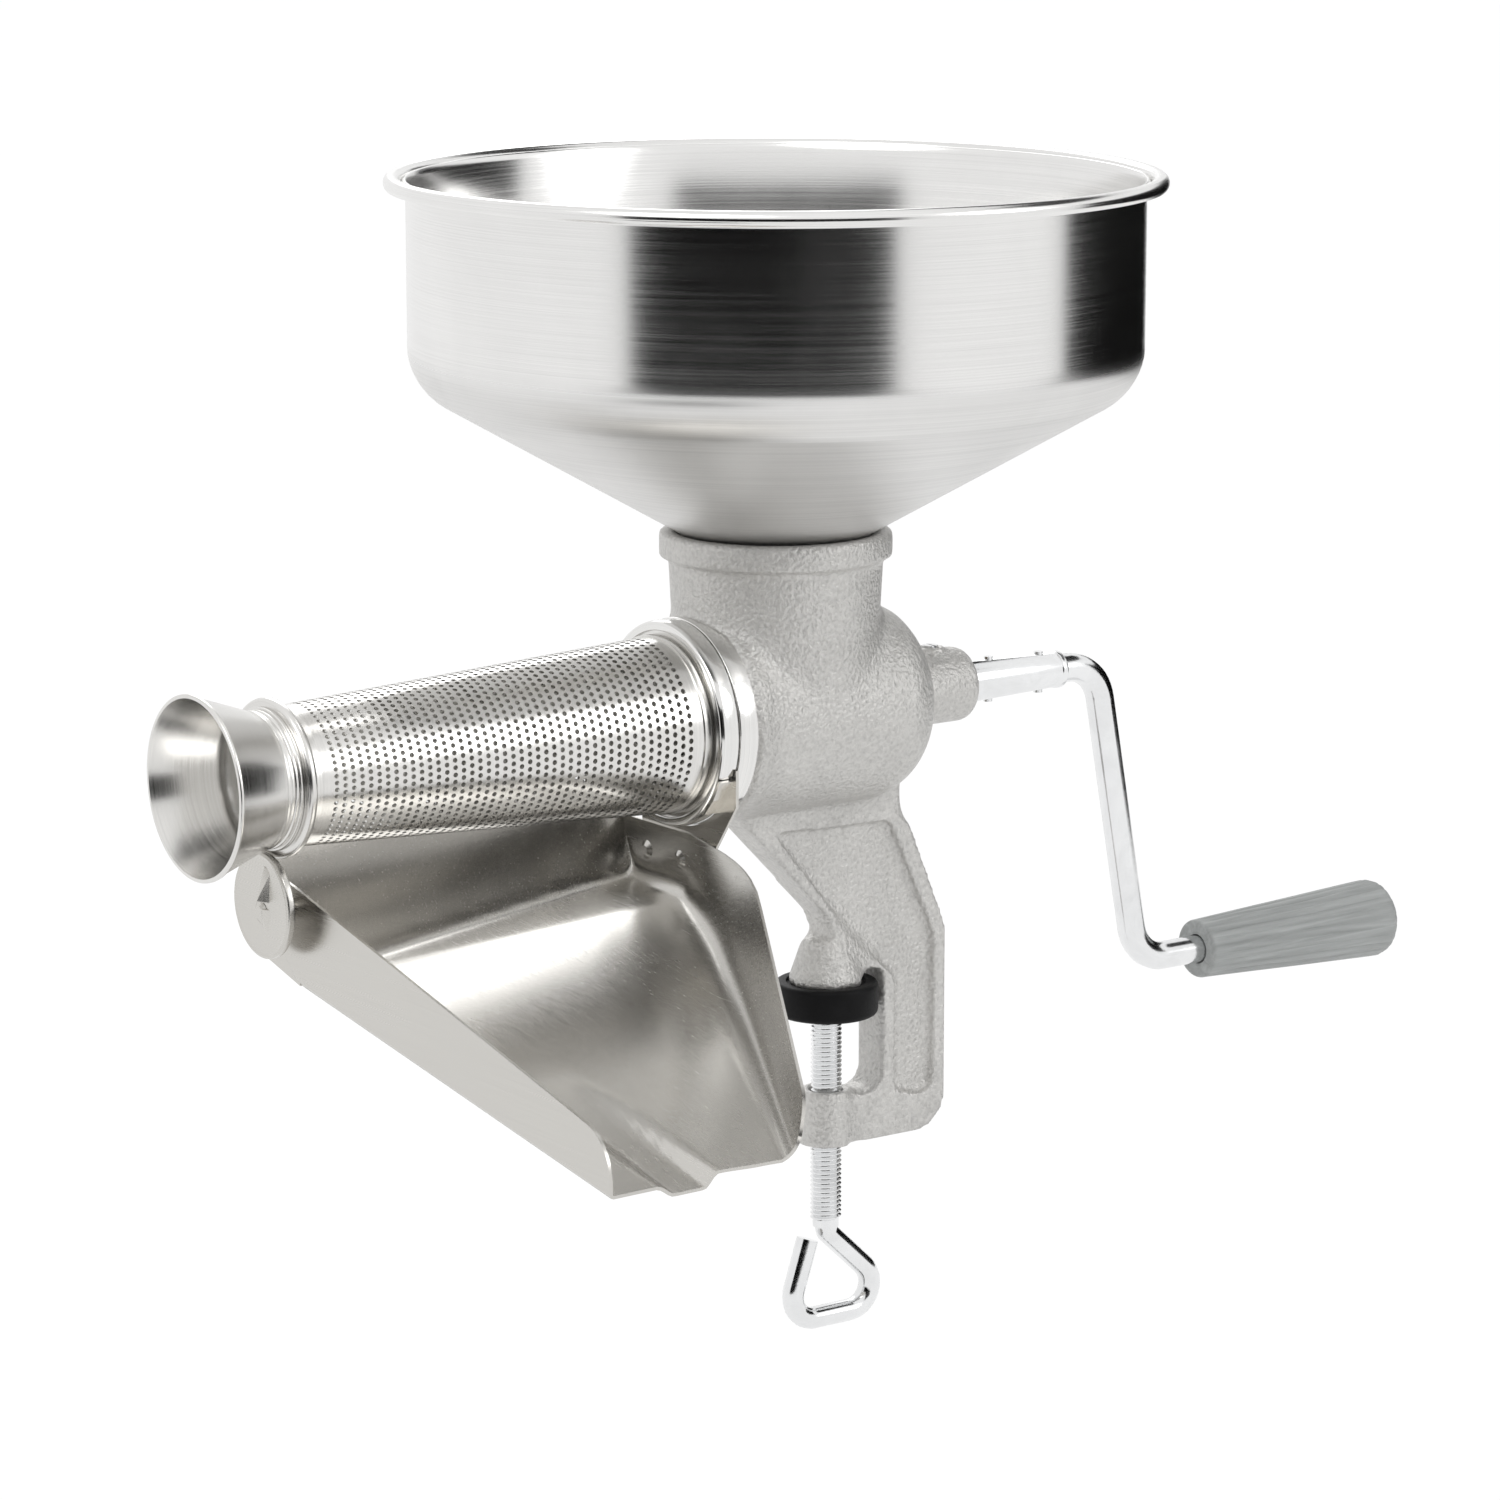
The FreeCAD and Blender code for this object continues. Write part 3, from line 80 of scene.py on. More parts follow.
def objectPattern(tree, scale):
    place = tree.nodes.new("ShaderNodeTexCoord")
    mapping = tree.nodes.new("ShaderNodeMapping")
    mapping.inputs["Scale"].default_value = scale
    tree.links.new(place.outputs["Object"], mapping.inputs["Vector"])
    return mapping.outputs["Vector"]


def grainNoise(tree, scale, detail, rough, warp=0.0):
    noise = tree.nodes.new("ShaderNodeTexNoise")
    noise.inputs["Scale"].default_value = 1.0  # the pattern's own scale holds
    noise.inputs["Detail"].default_value = detail
    noise.inputs["Roughness"].default_value = rough
    noise.inputs["Distortion"].default_value = warp
    tree.links.new(objectPattern(tree, scale), noise.inputs["Vector"])
    return noise.outputs["Fac"]


def mixed(tree, first, second, share):
    both = tree.nodes.new("ShaderNodeMix")
    both.inputs["Factor"].default_value = share
    tree.links.new(first, both.inputs["A"])
    tree.links.new(second, both.inputs["B"])
    return both.outputs["Result"]


def toneRamp(tree, amount, colour, tones):  # tones: place on the ramp and brightness
    ramp = tree.nodes.new("ShaderNodeValToRGB")
    points = ramp.color_ramp.elements
    while len(points) < len(tones):
        points.new(0.5)
    for point, (place, tone) in zip(points, tones):
        point.position = place
        point.color = (*(min(1.0, c * tone) for c in colour), 1)
    tree.links.new(amount, ramp.inputs["Fac"])
    return ramp.outputs["Color"]


def spread(tree, amount, low, high, fromLow=0.3, fromHigh=0.7):
    remap = tree.nodes.new("ShaderNodeMapRange")
    remap.inputs["From Min"].default_value = fromLow
    remap.inputs["From Max"].default_value = fromHigh
    remap.inputs["To Min"].default_value = low
    remap.inputs["To Max"].default_value = high
    tree.links.new(amount, remap.inputs["Value"])
    return remap.outputs["Result"]


def raised(tree, height, depth, strength, before=None):
    bump = tree.nodes.new("ShaderNodeBump")
    bump.inputs["Strength"].default_value = strength
    bump.inputs["Distance"].default_value = depth
    tree.links.new(height, bump.inputs["Height"])
    if before is not None:
        tree.links.new(before, bump.inputs["Normal"])
    return bump.outputs["Normal"]


def plugIn(tree, shader, shade, rough, normal=None):
    tree.links.new(shade, shader.inputs["Base Color"])
    tree.links.new(rough, shader.inputs["Roughness"])
    if normal is not None:
        tree.links.new(normal, shader.inputs["Normal"])


# brushed or turned sheet: long streaks in one direction, with a soft cloud of wear
# grains hold detail, roughness and warp
brushedLook = {"streakGrain": (3.0, 0.6), "wearGrain": (5.0, 0.6, 0.4), "wearShare": 0.4,
               "tonePlaces": (0.32, 0.66), "roughShares": (0.75, 1.3), "lineDepth": 0.00006}


def brushedSteel(name, colour, rough, streak, cloud=18.0, tone=0.10, lines=0.06, stretch=0.0):
    look = brushedLook
    finish, tree, shader = newFinish(name, colour, 1.0, rough)
    fine = grainNoise(tree, streak, *look["streakGrain"])
    wear = grainNoise(tree, (cloud,) * 3, *look["wearGrain"])
    blend = mixed(tree, fine, wear, look["wearShare"])
    dark, light = look["tonePlaces"]
    smooth, coarse = look["roughShares"]
    plugIn(tree, shader,
           toneRamp(tree, blend, colour, [(dark, 1 - tone), (light, 1 + tone / 2)]),
           spread(tree, blend, rough * smooth, rough * coarse),
           raised(tree, fine, look["lineDepth"], lines))
    if stretch:
        shader.inputs["Anisotropic"].default_value = stretch
        tangent = tree.nodes.new("ShaderNodeTangent")
        tangent.direction_type = "RADIAL"
        tangent.axis = "Z" if streak[2] > streak[0] else "X"
        tree.links.new(tangent.outputs["Tangent"], shader.inputs["Tangent"])
    return finish


# tinned casting: orange-peel skin, fine sand grain and slightly darker pits
# noises hold scale, detail, roughness and warp, and rises hold depth and strength
castingLook = {"colour": (0.66, 0.65, 0.63), "metal": 0.5, "rough": 0.42, "roughRange": (0.36, 0.52),
               "peel": ((780, 780, 780), 2.0, 0.45), "peelRise": (0.0012, 0.62),
               "grain": ((1900, 1900, 1900), 3.0, 0.6), "grainRise": (0.0004, 0.22),
               "cloud": ((24, 24, 24), 5.0, 0.6, 0.6), "cloudShare": 0.45,
               "tones": [(0.30, 0.80), (0.50, 1.0), (0.68, 1.14)]}


def tinnedCasting(look):
    finish, tree, shader = newFinish("tinnedCasting", look["colour"], look["metal"], look["rough"])
    peel = grainNoise(tree, *look["peel"])
    grain = grainNoise(tree, *look["grain"])
    cloud = grainNoise(tree, *look["cloud"])
    blend = mixed(tree, peel, cloud, look["cloudShare"])
    skin = raised(tree, peel, *look["peelRise"])
    plugIn(tree, shader,
           toneRamp(tree, blend, look["colour"], look["tones"]),
           spread(tree, grain, *look["roughRange"]),
           raised(tree, grain, *look["grainRise"], skin))
    return finish


zincLook = {"colour": (0.82, 0.825, 0.83), "rough": 0.14, "roughRange": (0.09, 0.22),
            "cloud": ((60, 60, 60), 6.0, 0.65, 0.8), "tones": [(0.3, 0.9), (0.65, 1.04)],
            "fine": ((900, 900, 900), 3.0, 0.5), "fineRise": (0.00008, 0.12)}


def brightZinc(look):
    finish, tree, shader = newFinish("brightZinc", look["colour"], 1.0, look["rough"])
    cloud = grainNoise(tree, *look["cloud"])
    fine = grainNoise(tree, *look["fine"])
    plugIn(tree, shader,
           toneRamp(tree, cloud, look["colour"], look["tones"]),
           spread(tree, cloud, *look["roughRange"]),
           raised(tree, fine, *look["fineRise"]))
    return finish


bronzeLook = {"colour": (0.60, 0.42, 0.22), "rough": 0.3, "roughRange": (0.24, 0.42),
              "rings": ((1600, 30, 30), 3.0, 0.6), "tones": [(0.3, 0.8), (0.7, 1.1)]}


def bushBronze(look):
    finish, tree, shader = newFinish("bushBronze", look["colour"], 1.0, look["rough"])
    rings = grainNoise(tree, *look["rings"])
    plugIn(tree, shader,
           toneRamp(tree, rings, look["colour"], look["tones"]),
           spread(tree, rings, *look["roughRange"]))
    return finish


plasticLook = {"flowGrain": (5.0, 0.6, 0.5), "tonePlaces": (0.3, 0.7), "roughShares": (0.88, 1.12),
               "skin": ((1400, 1400, 1400), 2.0, 0.5), "skinRise": (0.0002, 0.16)}


def mouldedPlastic(name, colour, rough, streak, tone, gloss=0.5):
    look = plasticLook
    finish, tree, shader = newFinish(name, colour, 0.0, rough, gloss)
    flow = grainNoise(tree, streak, *look["flowGrain"])
    skin = grainNoise(tree, *look["skin"])
    dark, light = look["tonePlaces"]
    smooth, coarse = look["roughShares"]
    plugIn(tree, shader,
           toneRamp(tree, flow, colour, [(dark, 1 - tone), (light, 1 + tone)]),
           spread(tree, skin, rough * smooth, rough * coarse),
           raised(tree, skin, *look["skinRise"]))
    return finish


# the spun bowl is brushed satin on its cone and bright on its wall
spunLook = {"colour": (0.80, 0.795, 0.785), "streak": (7, 7, 2400), "stretch": 0.55,
            "satin": 0.40, "bright": 0.17, "coneTop": 108, "wallFoot": 122}


def spunSteel(look):
    finish = brushedSteel("spunSteel", look["colour"], look["bright"], look["streak"],
                          stretch=look["stretch"])
    tree = finish.node_tree
    shader = tree.nodes["Principled BSDF"]
    split = tree.nodes.new("ShaderNodeSeparateXYZ")
    tree.links.new(objectPattern(tree, (1, 1, 1)), split.inputs["Vector"])
    satin = spread(tree, split.outputs["Z"], look["satin"], 0.0,
                   at(0, 0, look["coneTop"]).z, at(0, 0, look["wallFoot"]).z)
    rougher = tree.nodes.new("ShaderNodeMath")
    rougher.operation = "MAXIMUM"
    tree.links.new(shader.inputs["Roughness"].links[0].from_socket, rougher.inputs[0])
    tree.links.new(satin, rougher.inputs[1])
    tree.links.new(rougher.outputs["Value"], shader.inputs["Roughness"])
    return finish


finishes = {
    "tinned_casting": tinnedCasting(castingLook),
    "spun_steel": spunSteel(spunLook),
    "turned_steel": brushedSteel("turnedSteel", colour=(0.74, 0.73, 0.71), rough=0.22,
                                 streak=(2600, 9, 9), lines=0.12, stretch=0.4),
    "sieve_steel": brushedSteel("sieveSteel", colour=(0.74, 0.73, 0.71), rough=0.20,
                                streak=(1400, 40, 40), lines=0.05),
    "tray_steel": brushedSteel("traySteel", colour=(0.60, 0.585, 0.555), rough=0.24,
                               streak=(1500, 10, 1500), cloud=9.0, tone=0.04, lines=0.03),
    "bright_zinc": brightZinc(zincLook),
    "bush_bronze": bushBronze(bronzeLook),
    "black_rubber": mouldedPlastic("blackRubber", colour=(0.006, 0.006, 0.0065), rough=0.5,
                                   streak=(120, 120, 120), tone=0.3, gloss=0.14),
    "grey_plastic": mouldedPlastic("greyPlastic", colour=(0.43, 0.445, 0.44), rough=0.5,
                                   streak=(16, 420, 420), tone=0.2),
    "white_plastic": mouldedPlastic("whitePlastic", colour=(0.82, 0.81, 0.77), rough=0.4,
                                    streak=(60, 60, 60), tone=0.05),
}
polishedBand = brushedSteel("polishedBand", colour=(0.78, 0.775, 0.76), rough=0.12,
                            streak=(2800, 6, 6), lines=0.05, stretch=0.4)
print("finishes ready:", len(finishes) + 1)

for row in frame["record"]["subparts"]:  # the kept solids take the same finishes
    solid = cadNodes[row["node"]]
    solid.data.materials.clear()
    solid.data.materials.append(finishes[row["material_slot"]])


# steps that the pieces share
def between(first, last, share):
    return first + (last - first) * share


def onlyVerts(geometry):
    return [g for g in geometry if isinstance(g, bmesh.types.BMVert)]


def onlyEdges(geometry):
    return [g for g in geometry if isinstance(g, bmesh.types.BMEdge)]


def triangleCount(piece):
    return sum(len(p.vertices) - 2 for p in piece.data.polygons)


def placed(name, bm, finish):
    mesh = bpy.data.meshes.new(name)
    bm.to_mesh(mesh)
    bm.free()
    mesh.materials.append(finish)
    thing = bpy.data.objects.new(name, mesh)
    scene.collection.objects.link(thing)
    return thing


# edges that turn by more than the sharp angle stay hard
def settle(name, bm, body, slotName, sharp=34, finish=None):
    bmesh.ops.remove_doubles(bm, verts=bm.verts, dist=weldGap)
    bmesh.ops.recalc_face_normals(bm, faces=bm.faces)
    for face in bm.faces:
        face.smooth = True
    for edge in bm.edges:
        edge.smooth = edge.calc_face_angle(0.0) < math.radians(sharp)
    piece = placed(name, bm, finish or finishes[slotName])
    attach(piece, body)
    return piece


def roundEdges(bm, edges, size, segments=3):
    bmesh.ops.bevel(bm, geom=edges, offset=size / 1000, offset_type="OFFSET", segments=segments,
                    profile=0.5, affect="EDGES", material=-1, clamp_overlap=True)


# turns a profile of (station, radius, rounding) about one of the axes
def turned(corners, axisName, steps, roundSteps=3, closed=True):
    centre, along, outward = turningAxes[axisName]
    near = 0.01
    bm = bmesh.new()
    spots = [bm.verts.new(centre + along * (c[0] / 1000) + outward * (c[1] / 1000)) for c in corners]
    runs = []
    for i in range(len(spots) if closed else len(spots) - 1):
        j = (i + 1) % len(spots)
        if corners[i][1] or corners[j][1]:  # a run along the axis itself is left out
            runs.append(bm.edges.new((spots[i], spots[j])))
    bmesh.ops.spin(bm, geom=spots + runs, cent=centre, axis=along, angle=math.tau, steps=steps,
                   use_merge=True)
    bmesh.ops.remove_doubles(bm, verts=bm.verts, dist=weldGap)

    def standsOn(vert, corner):
        spot = (vert.co - centre) * 1000
        station = spot.dot(along)
        radius = (spot - along * station).length
        return abs(station - corner[0]) < near and abs(radius - corner[1]) < near

    for corner in corners:
        if len(corner) == 3:
            ring = [e for e in bm.edges if all(standsOn(v, corner) for v in e.verts)]
            roundEdges(bm, ring, corner[2], roundSteps)
    return bm


# a round rod along straight runs of (x, z, bend), in the upright plane of the barrel
rodSizes = {"bendSteps": 12, "roundSteps": 7, "sharp": 50}


def bentRod(name, route, radius, body, slotName):
    s = rodSizes
    points = []
    for i, (x, z, bend) in enumerate(route):
        here = at(x, 0, z)
        if not bend:
            points.append(here)
            continue
        back = (at(route[i - 1][0], 0, route[i - 1][1]) - here).normalized()
        ahead = (at(route[i + 1][0], 0, route[i + 1][1]) - here).normalized()
        half = back.angle(ahead) / 2
        middle = here + (back + ahead).normalized() * (bend / 1000 / math.sin(half))
        start = here + back * (bend / 1000 / math.tan(half)) - middle
        sweep = math.pi - 2 * half
        side = start.cross(-back).normalized()
        for step in range(s["bendSteps"] + 1):
            points.append(middle + Matrix.Rotation(sweep * step / s["bendSteps"], 3, side) @ start)
    line = bpy.data.curves.new(name + "Line", "CURVE")
    line.dimensions = "3D"
    line.bevel_depth = radius / 1000
    line.bevel_resolution = s["roundSteps"]
    line.use_fill_caps = True
    spline = line.splines.new("POLY")
    spline.points.add(len(points) - 1)
    for point, spot in zip(spline.points, points):
        point.co = (*spot, 1)
    holder = bpy.data.objects.new(name + "Line", line)
    mesh = bpy.data.meshes.new_from_object(holder)
    bm = bmesh.new()
    bm.from_mesh(mesh)
    bpy.data.objects.remove(holder)
    bpy.data.meshes.remove(mesh)
    return settle(name, bm, body, slotName, s["sharp"])


# hopper: spun sheet with a rolled rim
hopperSizes = {"spout": 29.1, "spoutEnd": 32.0, "coneFoot": 55.52, "footRound": 2.0, "coneTop": 103.29,
               "knuckle": 10.45, "wall": 113.2, "sheet": 0.9, "coneShift": 0.582, "top": 164.5,
               "bead": 2.6, "beadRing": 117.4, "beadStart": -45, "beadSweep": 250, "beadRuns": 14,
               "neckDrop": 1.9, "neckRound": 1.2, "neckInset": 1.2, "lipRise": 1.6, "lipFlare": 1.0,
               "lipRound": 0.9, "lipDrop": 1.0, "steps": 160, "roundSteps": 8, "sharp": 38}


def makeHopper(s):
    inner = s["wall"] - s["sheet"]
    spoutInner = s["spout"] - s["sheet"]
    rise = s["sheet"] * s["coneShift"]  # how far the cone's inside lies above its outside
    neck = s["top"] - s["neckDrop"]
    corners = [
        (s["spoutEnd"], spoutInner),
        (s["spoutEnd"], s["spout"]),
        (s["coneFoot"], s["spout"], s["footRound"]),
        (s["coneTop"], s["wall"], s["knuckle"]),
        (neck, s["wall"], s["neckRound"]),
        (neck, s["beadRing"] - s["neckInset"]),
    ]
    for i in range(s["beadRuns"] + 1):  # the rolled bead, from its outside over the top to the inside
        angle = math.radians(s["beadStart"] + s["beadSweep"] * i / s["beadRuns"])
        corners.append((s["top"] + s["bead"] * math.sin(angle), s["beadRing"] + s["bead"] * math.cos(angle)))
    corners += [
        (s["top"] + s["lipRise"], inner + s["lipFlare"], s["lipRound"]),
        (s["top"] - s["lipDrop"], inner),
        (s["coneTop"] + rise, inner, s["knuckle"]),
        (s["coneFoot"] + rise, spoutInner, s["footRound"]),
    ]
    bm = turned(corners, "hopper", s["steps"], s["roundSteps"])
    piece = settle("hopperShell", bm, "hopper", "spun_steel", s["sharp"])
    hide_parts("hopper")


makeHopper(hopperSizes)
print("hopper done")

# casting: the solid's skin, melted together at its joints
castingSizes = {"voxel": 1.0, "skinPasses": 2, "smoothing": 0.5, "creaseAngle": -0.3, "creaseStep": 1.0,
                "cornerGap": 1e-5, "sharp": 70,
                # the melting leaves out the machined bore, the neck and the front end
                "creaseFrom": 28.3, "bore": 28.5, "boreEnd": 40, "neck": 30.2, "neckFoot": 8, "frontEnd": -27,
                # the box that holds each joint's creases, its reach and its passes
                "joints": [
                    {"low": (-36, -36, 2), "high": (36, 36, 38), "reach": 8.0, "passes": 60},
                    {"low": (-24, -9, -37.5), "high": (50, 9, -16), "reach": 6.0, "passes": 36},
                    {"low": (45, -14, -14), "high": (50, 14, 14), "reach": 4.0, "passes": 18},
                    {"low": (6, -14, -88), "high": (34, 14, -70), "reach": 4.5, "passes": 24},
                    {"low": (10, -11, -146), "high": (32, 11, -124), "reach": 3.0, "passes": 10},
                    {"low": (56, -6, 8), "high": (66, 6, 14), "reach": 2.5, "passes": 8},
                ]}


def makeCasting(s):
    def fromBarrel(spot):
        return (spot - crossing).yz.length * 1000

    def isMachined(spot):
        inBore = fromBarrel(spot) < s["bore"] and spot.x < at(s["boreEnd"], 0, 0).x
        inNeck = (spot - crossing).xy.length * 1000 < s["neck"] and spot.z > at(0, 0, s["neckFoot"]).z
        return inBore or inNeck or spot.x < at(s["frontEnd"], 0, 0).x

    def soften(verts, passes):
        for step in range(passes):
            bmesh.ops.smooth_vert(bm, verts=verts, factor=s["smoothing"],
                                  use_axis_x=True, use_axis_y=True, use_axis_z=True)

    bm = bmesh.new()
    bm.from_mesh(cadNodes["cast_body"].data)
    bmesh.ops.remove_doubles(bm, verts=bm.verts, dist=s["cornerGap"])
    creases = []
    for edge in bm.edges:
        if len(edge.link_faces) == 2 and edge.calc_face_angle_signed(0.0) < s["creaseAngle"]:
            first, second = (v.co.copy() for v in edge.verts)
            count = max(1, int((second - first).length / (s["creaseStep"] / 1000)))
            creases += [first.lerp(second, i / count) for i in range(count + 1)]
    rough = bpy.data.meshes.new("castingRough")
    bm.to_mesh(rough)
    bm.free()
    holder = bpy.data.objects.new("castingRough", rough)
    scene.collection.objects.link(holder)
    remesh = holder.modifiers.new("skin", "REMESH")
    remesh.mode = "VOXEL"
    remesh.voxel_size = s["voxel"] / 1000
    skin = bpy.data.meshes.new_from_object(holder.evaluated_get(bpy.context.evaluated_depsgraph_get()))
    bpy.data.objects.remove(holder)
    bm = bmesh.new()
    bm.from_mesh(skin)
    for joint in s["joints"]:
        low, high = at(*joint["low"]), at(*joint["high"])
        spots = [c for c in creases if all(low[k] <= c[k] <= high[k] for k in range(3))
                 and fromBarrel(c) > s["creaseFrom"]]
        tree = kdtree.KDTree(len(spots))
        for i, spot in enumerate(spots):
            tree.insert(spot, i)
        tree.balance()
        reach = joint["reach"] / 1000
        soften([v for v in bm.verts if spots and not isMachined(v.co) and tree.find(v.co)[2] < reach],
               joint["passes"])
    soften([v for v in bm.verts if v.co.x > at(s["frontEnd"], 0, 0).x], s["skinPasses"])
    piece = settle("castingSkin", bm, "frame", "tinned_casting", s["sharp"])
    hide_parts("cast_body")
    print("casting triangles:", triangleCount(piece))


makeCasting(castingSizes)
print("casting done")

# machined band behind the lock ring
bandSizes = {"front": -36.25, "back": -28.4, "radius": 32.25, "bore": 30.4, "round": 0.35, "steps": 128}


def makeBand(s):
    bm = turned([
        (s["front"], s["bore"]),
        (s["front"], s["radius"], s["round"]),
        (s["back"], s["radius"], s["round"]),
        (s["back"], s["bore"]),
    ], "barrel", s["steps"])
    settle("machinedBand", bm, "frame", "turned_steel", finish=polishedBand)


makeBand(bandSizes)

# lock ring with the track for its pins
ringSizes = {"front": -43.1, "back": -36.65, "radius": 32.0, "bore": 29.9, "edgeRound": 0.3,
             "faceInset": 0.5, "faceRound": 0.9, "shoulder": -41.2, "shoulderRound": 0.4,
             "track": 31.1, "trackBack": -37.3, "trackFront": -39.9, "lip": 28.9, "lipBack": -42.0,
             "steps": 128}


def makeLockRing(s):
    bm = turned([
        (s["front"], s["lip"], s["edgeRound"]),
        (s["front"], s["radius"] - s["faceInset"], s["faceRound"]),
        (s["shoulder"], s["radius"], s["shoulderRound"]),
        (s["back"], s["radius"], s["edgeRound"]),
        (s["back"], s["bore"]),
        (s["trackBack"], s["bore"]),
        (s["trackBack"], s["track"]),
        (s["trackFront"], s["track"]),
        (s["trackFront"], s["bore"]),
        (s["lipBack"], s["bore"]),
        (s["lipBack"], s["lip"]),
    ], "barrel", s["steps"])
    piece = settle("lockRingTurned", bm, "ring", "turned_steel", finish=polishedBand)
    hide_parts("lock_ring")


makeLockRing(ringSizes)
print("lock ring done")

# sieve: a cone of staggered punched holes between two plain bands
sieveSizes = {"front": -176.5, "back": -46.1, "frontRadius": 20.9, "backRadius": 27.3, "sheet": 0.8,
              "plainFront": 3.0, "plainBack": 3.4, "columns": 44, "around": 66, "hole": 0.80, "sides": 8,
              "cellGap": 1e-5, "columnGap": 2.5e-5, "sharp": 40}


def makeSieve(s):
    first, last = s["front"] + s["plainFront"], s["back"] - s["plainBack"]
    pitch = (last - first) / s["columns"]
    taper = (s["backRadius"] - s["frontRadius"]) / (s["back"] - s["front"])
    middle = (s["backRadius"] + s["frontRadius"]) / 2
    wedge = math.tau / s["around"]

    def onCone(station, turn, depth):
        radius = middle + taper * station - depth
        return at(station, radius * math.sin(turn), radius * math.cos(turn))

    def standsAt(edge, station, gap):
        return all(abs(v.co.x - at(station, 0, 0).x) < gap for v in edge.verts)

    bm = bmesh.new()
    loops = []
    for depth in (0, s["sheet"]):  # one cell: its rim and its hole, outside and inside
        rim, hole = [], []
        for side in range(s["sides"]):
            turn = math.tau * side / s["sides"]
            along, across = math.cos(turn), math.sin(turn)
            reach = max(abs(along), abs(across))
            rim.append(bm.verts.new(onCone(pitch / 2 * along / reach, wedge / 2 * across / reach, depth)))
            hole.append(bm.verts.new(onCone(s["hole"] * along, s["hole"] / middle * across, depth)))
        loops.append((rim, hole))
    (rimOut, holeOut), (rimIn, holeIn) = loops
    cell = []
    for i in range(s["sides"]):
        j = (i + 1) % s["sides"]
        cell.append(bm.faces.new((rimOut[i], rimOut[j], holeOut[j], holeOut[i])))
        cell.append(bm.faces.new((rimIn[j], rimIn[i], holeIn[i], holeIn[j])))
        cell.append(bm.faces.new((holeOut[i], holeOut[j], holeIn[j], holeIn[i])))
    bmesh.ops.spin(bm, geom=cell, cent=crossing, axis=alongBarrel, angle=math.tau - wedge,
                   steps=s["around"] - 1, use_duplicate=True)
    bmesh.ops.remove_doubles(bm, verts=bm.verts, dist=s["cellGap"])
    columnMesh = bpy.data.meshes.new("sieveColumn")
    bm.to_mesh(columnMesh)
    bm.clear()
    for column in range(s["columns"]):  # every second column is turned by half a hole
        count = len(bm.verts)
        bm.from_mesh(columnMesh)
        bm.verts.ensure_lookup_table()
        station = first + pitch * (column + 0.5)
        grow = (s["frontRadius"] + taper * (station - s["front"])) / middle
        stagger = Matrix.Rotation(wedge / 2 * (column % 2), 4, "X")
        place = (Matrix.Translation(at(station, 0, 0)) @ stagger
                 @ Matrix.Diagonal((1, grow, grow, 1)) @ Matrix.Translation(-crossing))
        bmesh.ops.transform(bm, matrix=place, verts=bm.verts[count:])
    bpy.data.meshes.remove(columnMesh)
    bmesh.ops.remove_doubles(bm, verts=bm.verts, dist=s["columnGap"])
    for end, stop in ((first, s["front"]), (last, s["back"])):  # plain bands at both ends
        rims = [e for e in bm.edges if e.is_boundary and standsAt(e, end, s["cellGap"])]
        made = bmesh.ops.extrude_edge_only(bm, edges=rims)["geom"]
        for vert in onlyVerts(made):
            spot = vert.co - crossing
            radius = spot.yz.length + taper * (stop - end) / 1000
            vert.co = at(stop, 0, 0) + Vector((0, spot.y, spot.z)).normalized() * radius
        bmesh.ops.bridge_loops(bm, edges=[e for e in onlyEdges(made) if standsAt(e, stop, weldGap)])
    piece = settle("sievePunched", bm, "frame", "sieve_steel", s["sharp"])
    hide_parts("sieve_screen")
    print("sieve triangles:", triangleCount(piece))


makeSieve(sieveSizes)

# sieve collar with its bead
collarSizes = {"front": -183.0, "back": -176.5, "bore": 19.6, "tube": 20.9, "tubeRound": 0.4,
               "bead": 23.8, "beadBack": -179.6, "beadRound": 1.4, "steps": 112, "roundSteps": 4, "sharp": 50}


def makeCollar(s):
    bm = turned([
        (s["front"], s["bore"]),
        (s["back"], s["bore"]),
        (s["back"], s["tube"]),
        (s["beadBack"], s["tube"], s["tubeRound"]),
        (s["beadBack"], s["bead"], s["beadRound"]),
        (s["front"], s["bead"], s["beadRound"]),
    ], "barrel", s["steps"], s["roundSteps"])
    piece = settle("sieveBead", bm, "frame", "turned_steel", s["sharp"])
    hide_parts("sieve_collar")


makeCollar(collarSizes)

# waste outlet: a flared cone on a grooved neck
outletSizes = {"front": -207.9, "mouth": 27.65, "sheet": 1.2, "back": -183.0, "flange": 21.3, "step": -184.4,
               "flangeRound": 0.3, "sleeve": 20.6, "groove": 20.1, "grooveBack": -185.4,
               "grooveFront": -186.6, "grooveSlope": 0.3, "grooveRound": 0.2, "neck": -187.4,
               "neckRadius": 20.3, "neckRound": 1.6, "throatRound": 2.2, "lipBack": -206.6, "lipStep": 0.55,
               "lipStart": -206.7, "stepRound": 0.3, "lipRound": 0.4, "steps": 128, "sharp": 40}


def makeOutlet(s):
    throat = s["neckRadius"] - s["sheet"]
    bm = turned([
        (s["front"], s["mouth"] - s["sheet"]),
        (s["neck"], throat, s["throatRound"]),
        (s["back"], throat),
        (s["back"], s["flange"], s["flangeRound"]),
        (s["step"], s["flange"], s["flangeRound"]),
        (s["step"], s["sleeve"]),
        (s["grooveBack"], s["sleeve"], s["grooveRound"]),
        (s["grooveBack"] - s["grooveSlope"], s["groove"]),
        (s["grooveFront"] + s["grooveSlope"], s["groove"]),
        (s["grooveFront"], s["sleeve"], s["grooveRound"]),
        (s["neck"], s["neckRadius"], s["neckRound"]),
        (s["lipBack"], s["mouth"] - s["lipStep"], s["stepRound"]),
        (s["lipStart"], s["mouth"], s["lipRound"]),
        (s["front"], s["mouth"], s["lipRound"]),
    ], "barrel", s["steps"])
    piece = settle("outletTurned", bm, "frame", "turned_steel", s["sharp"])
    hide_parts("outlet_cone")


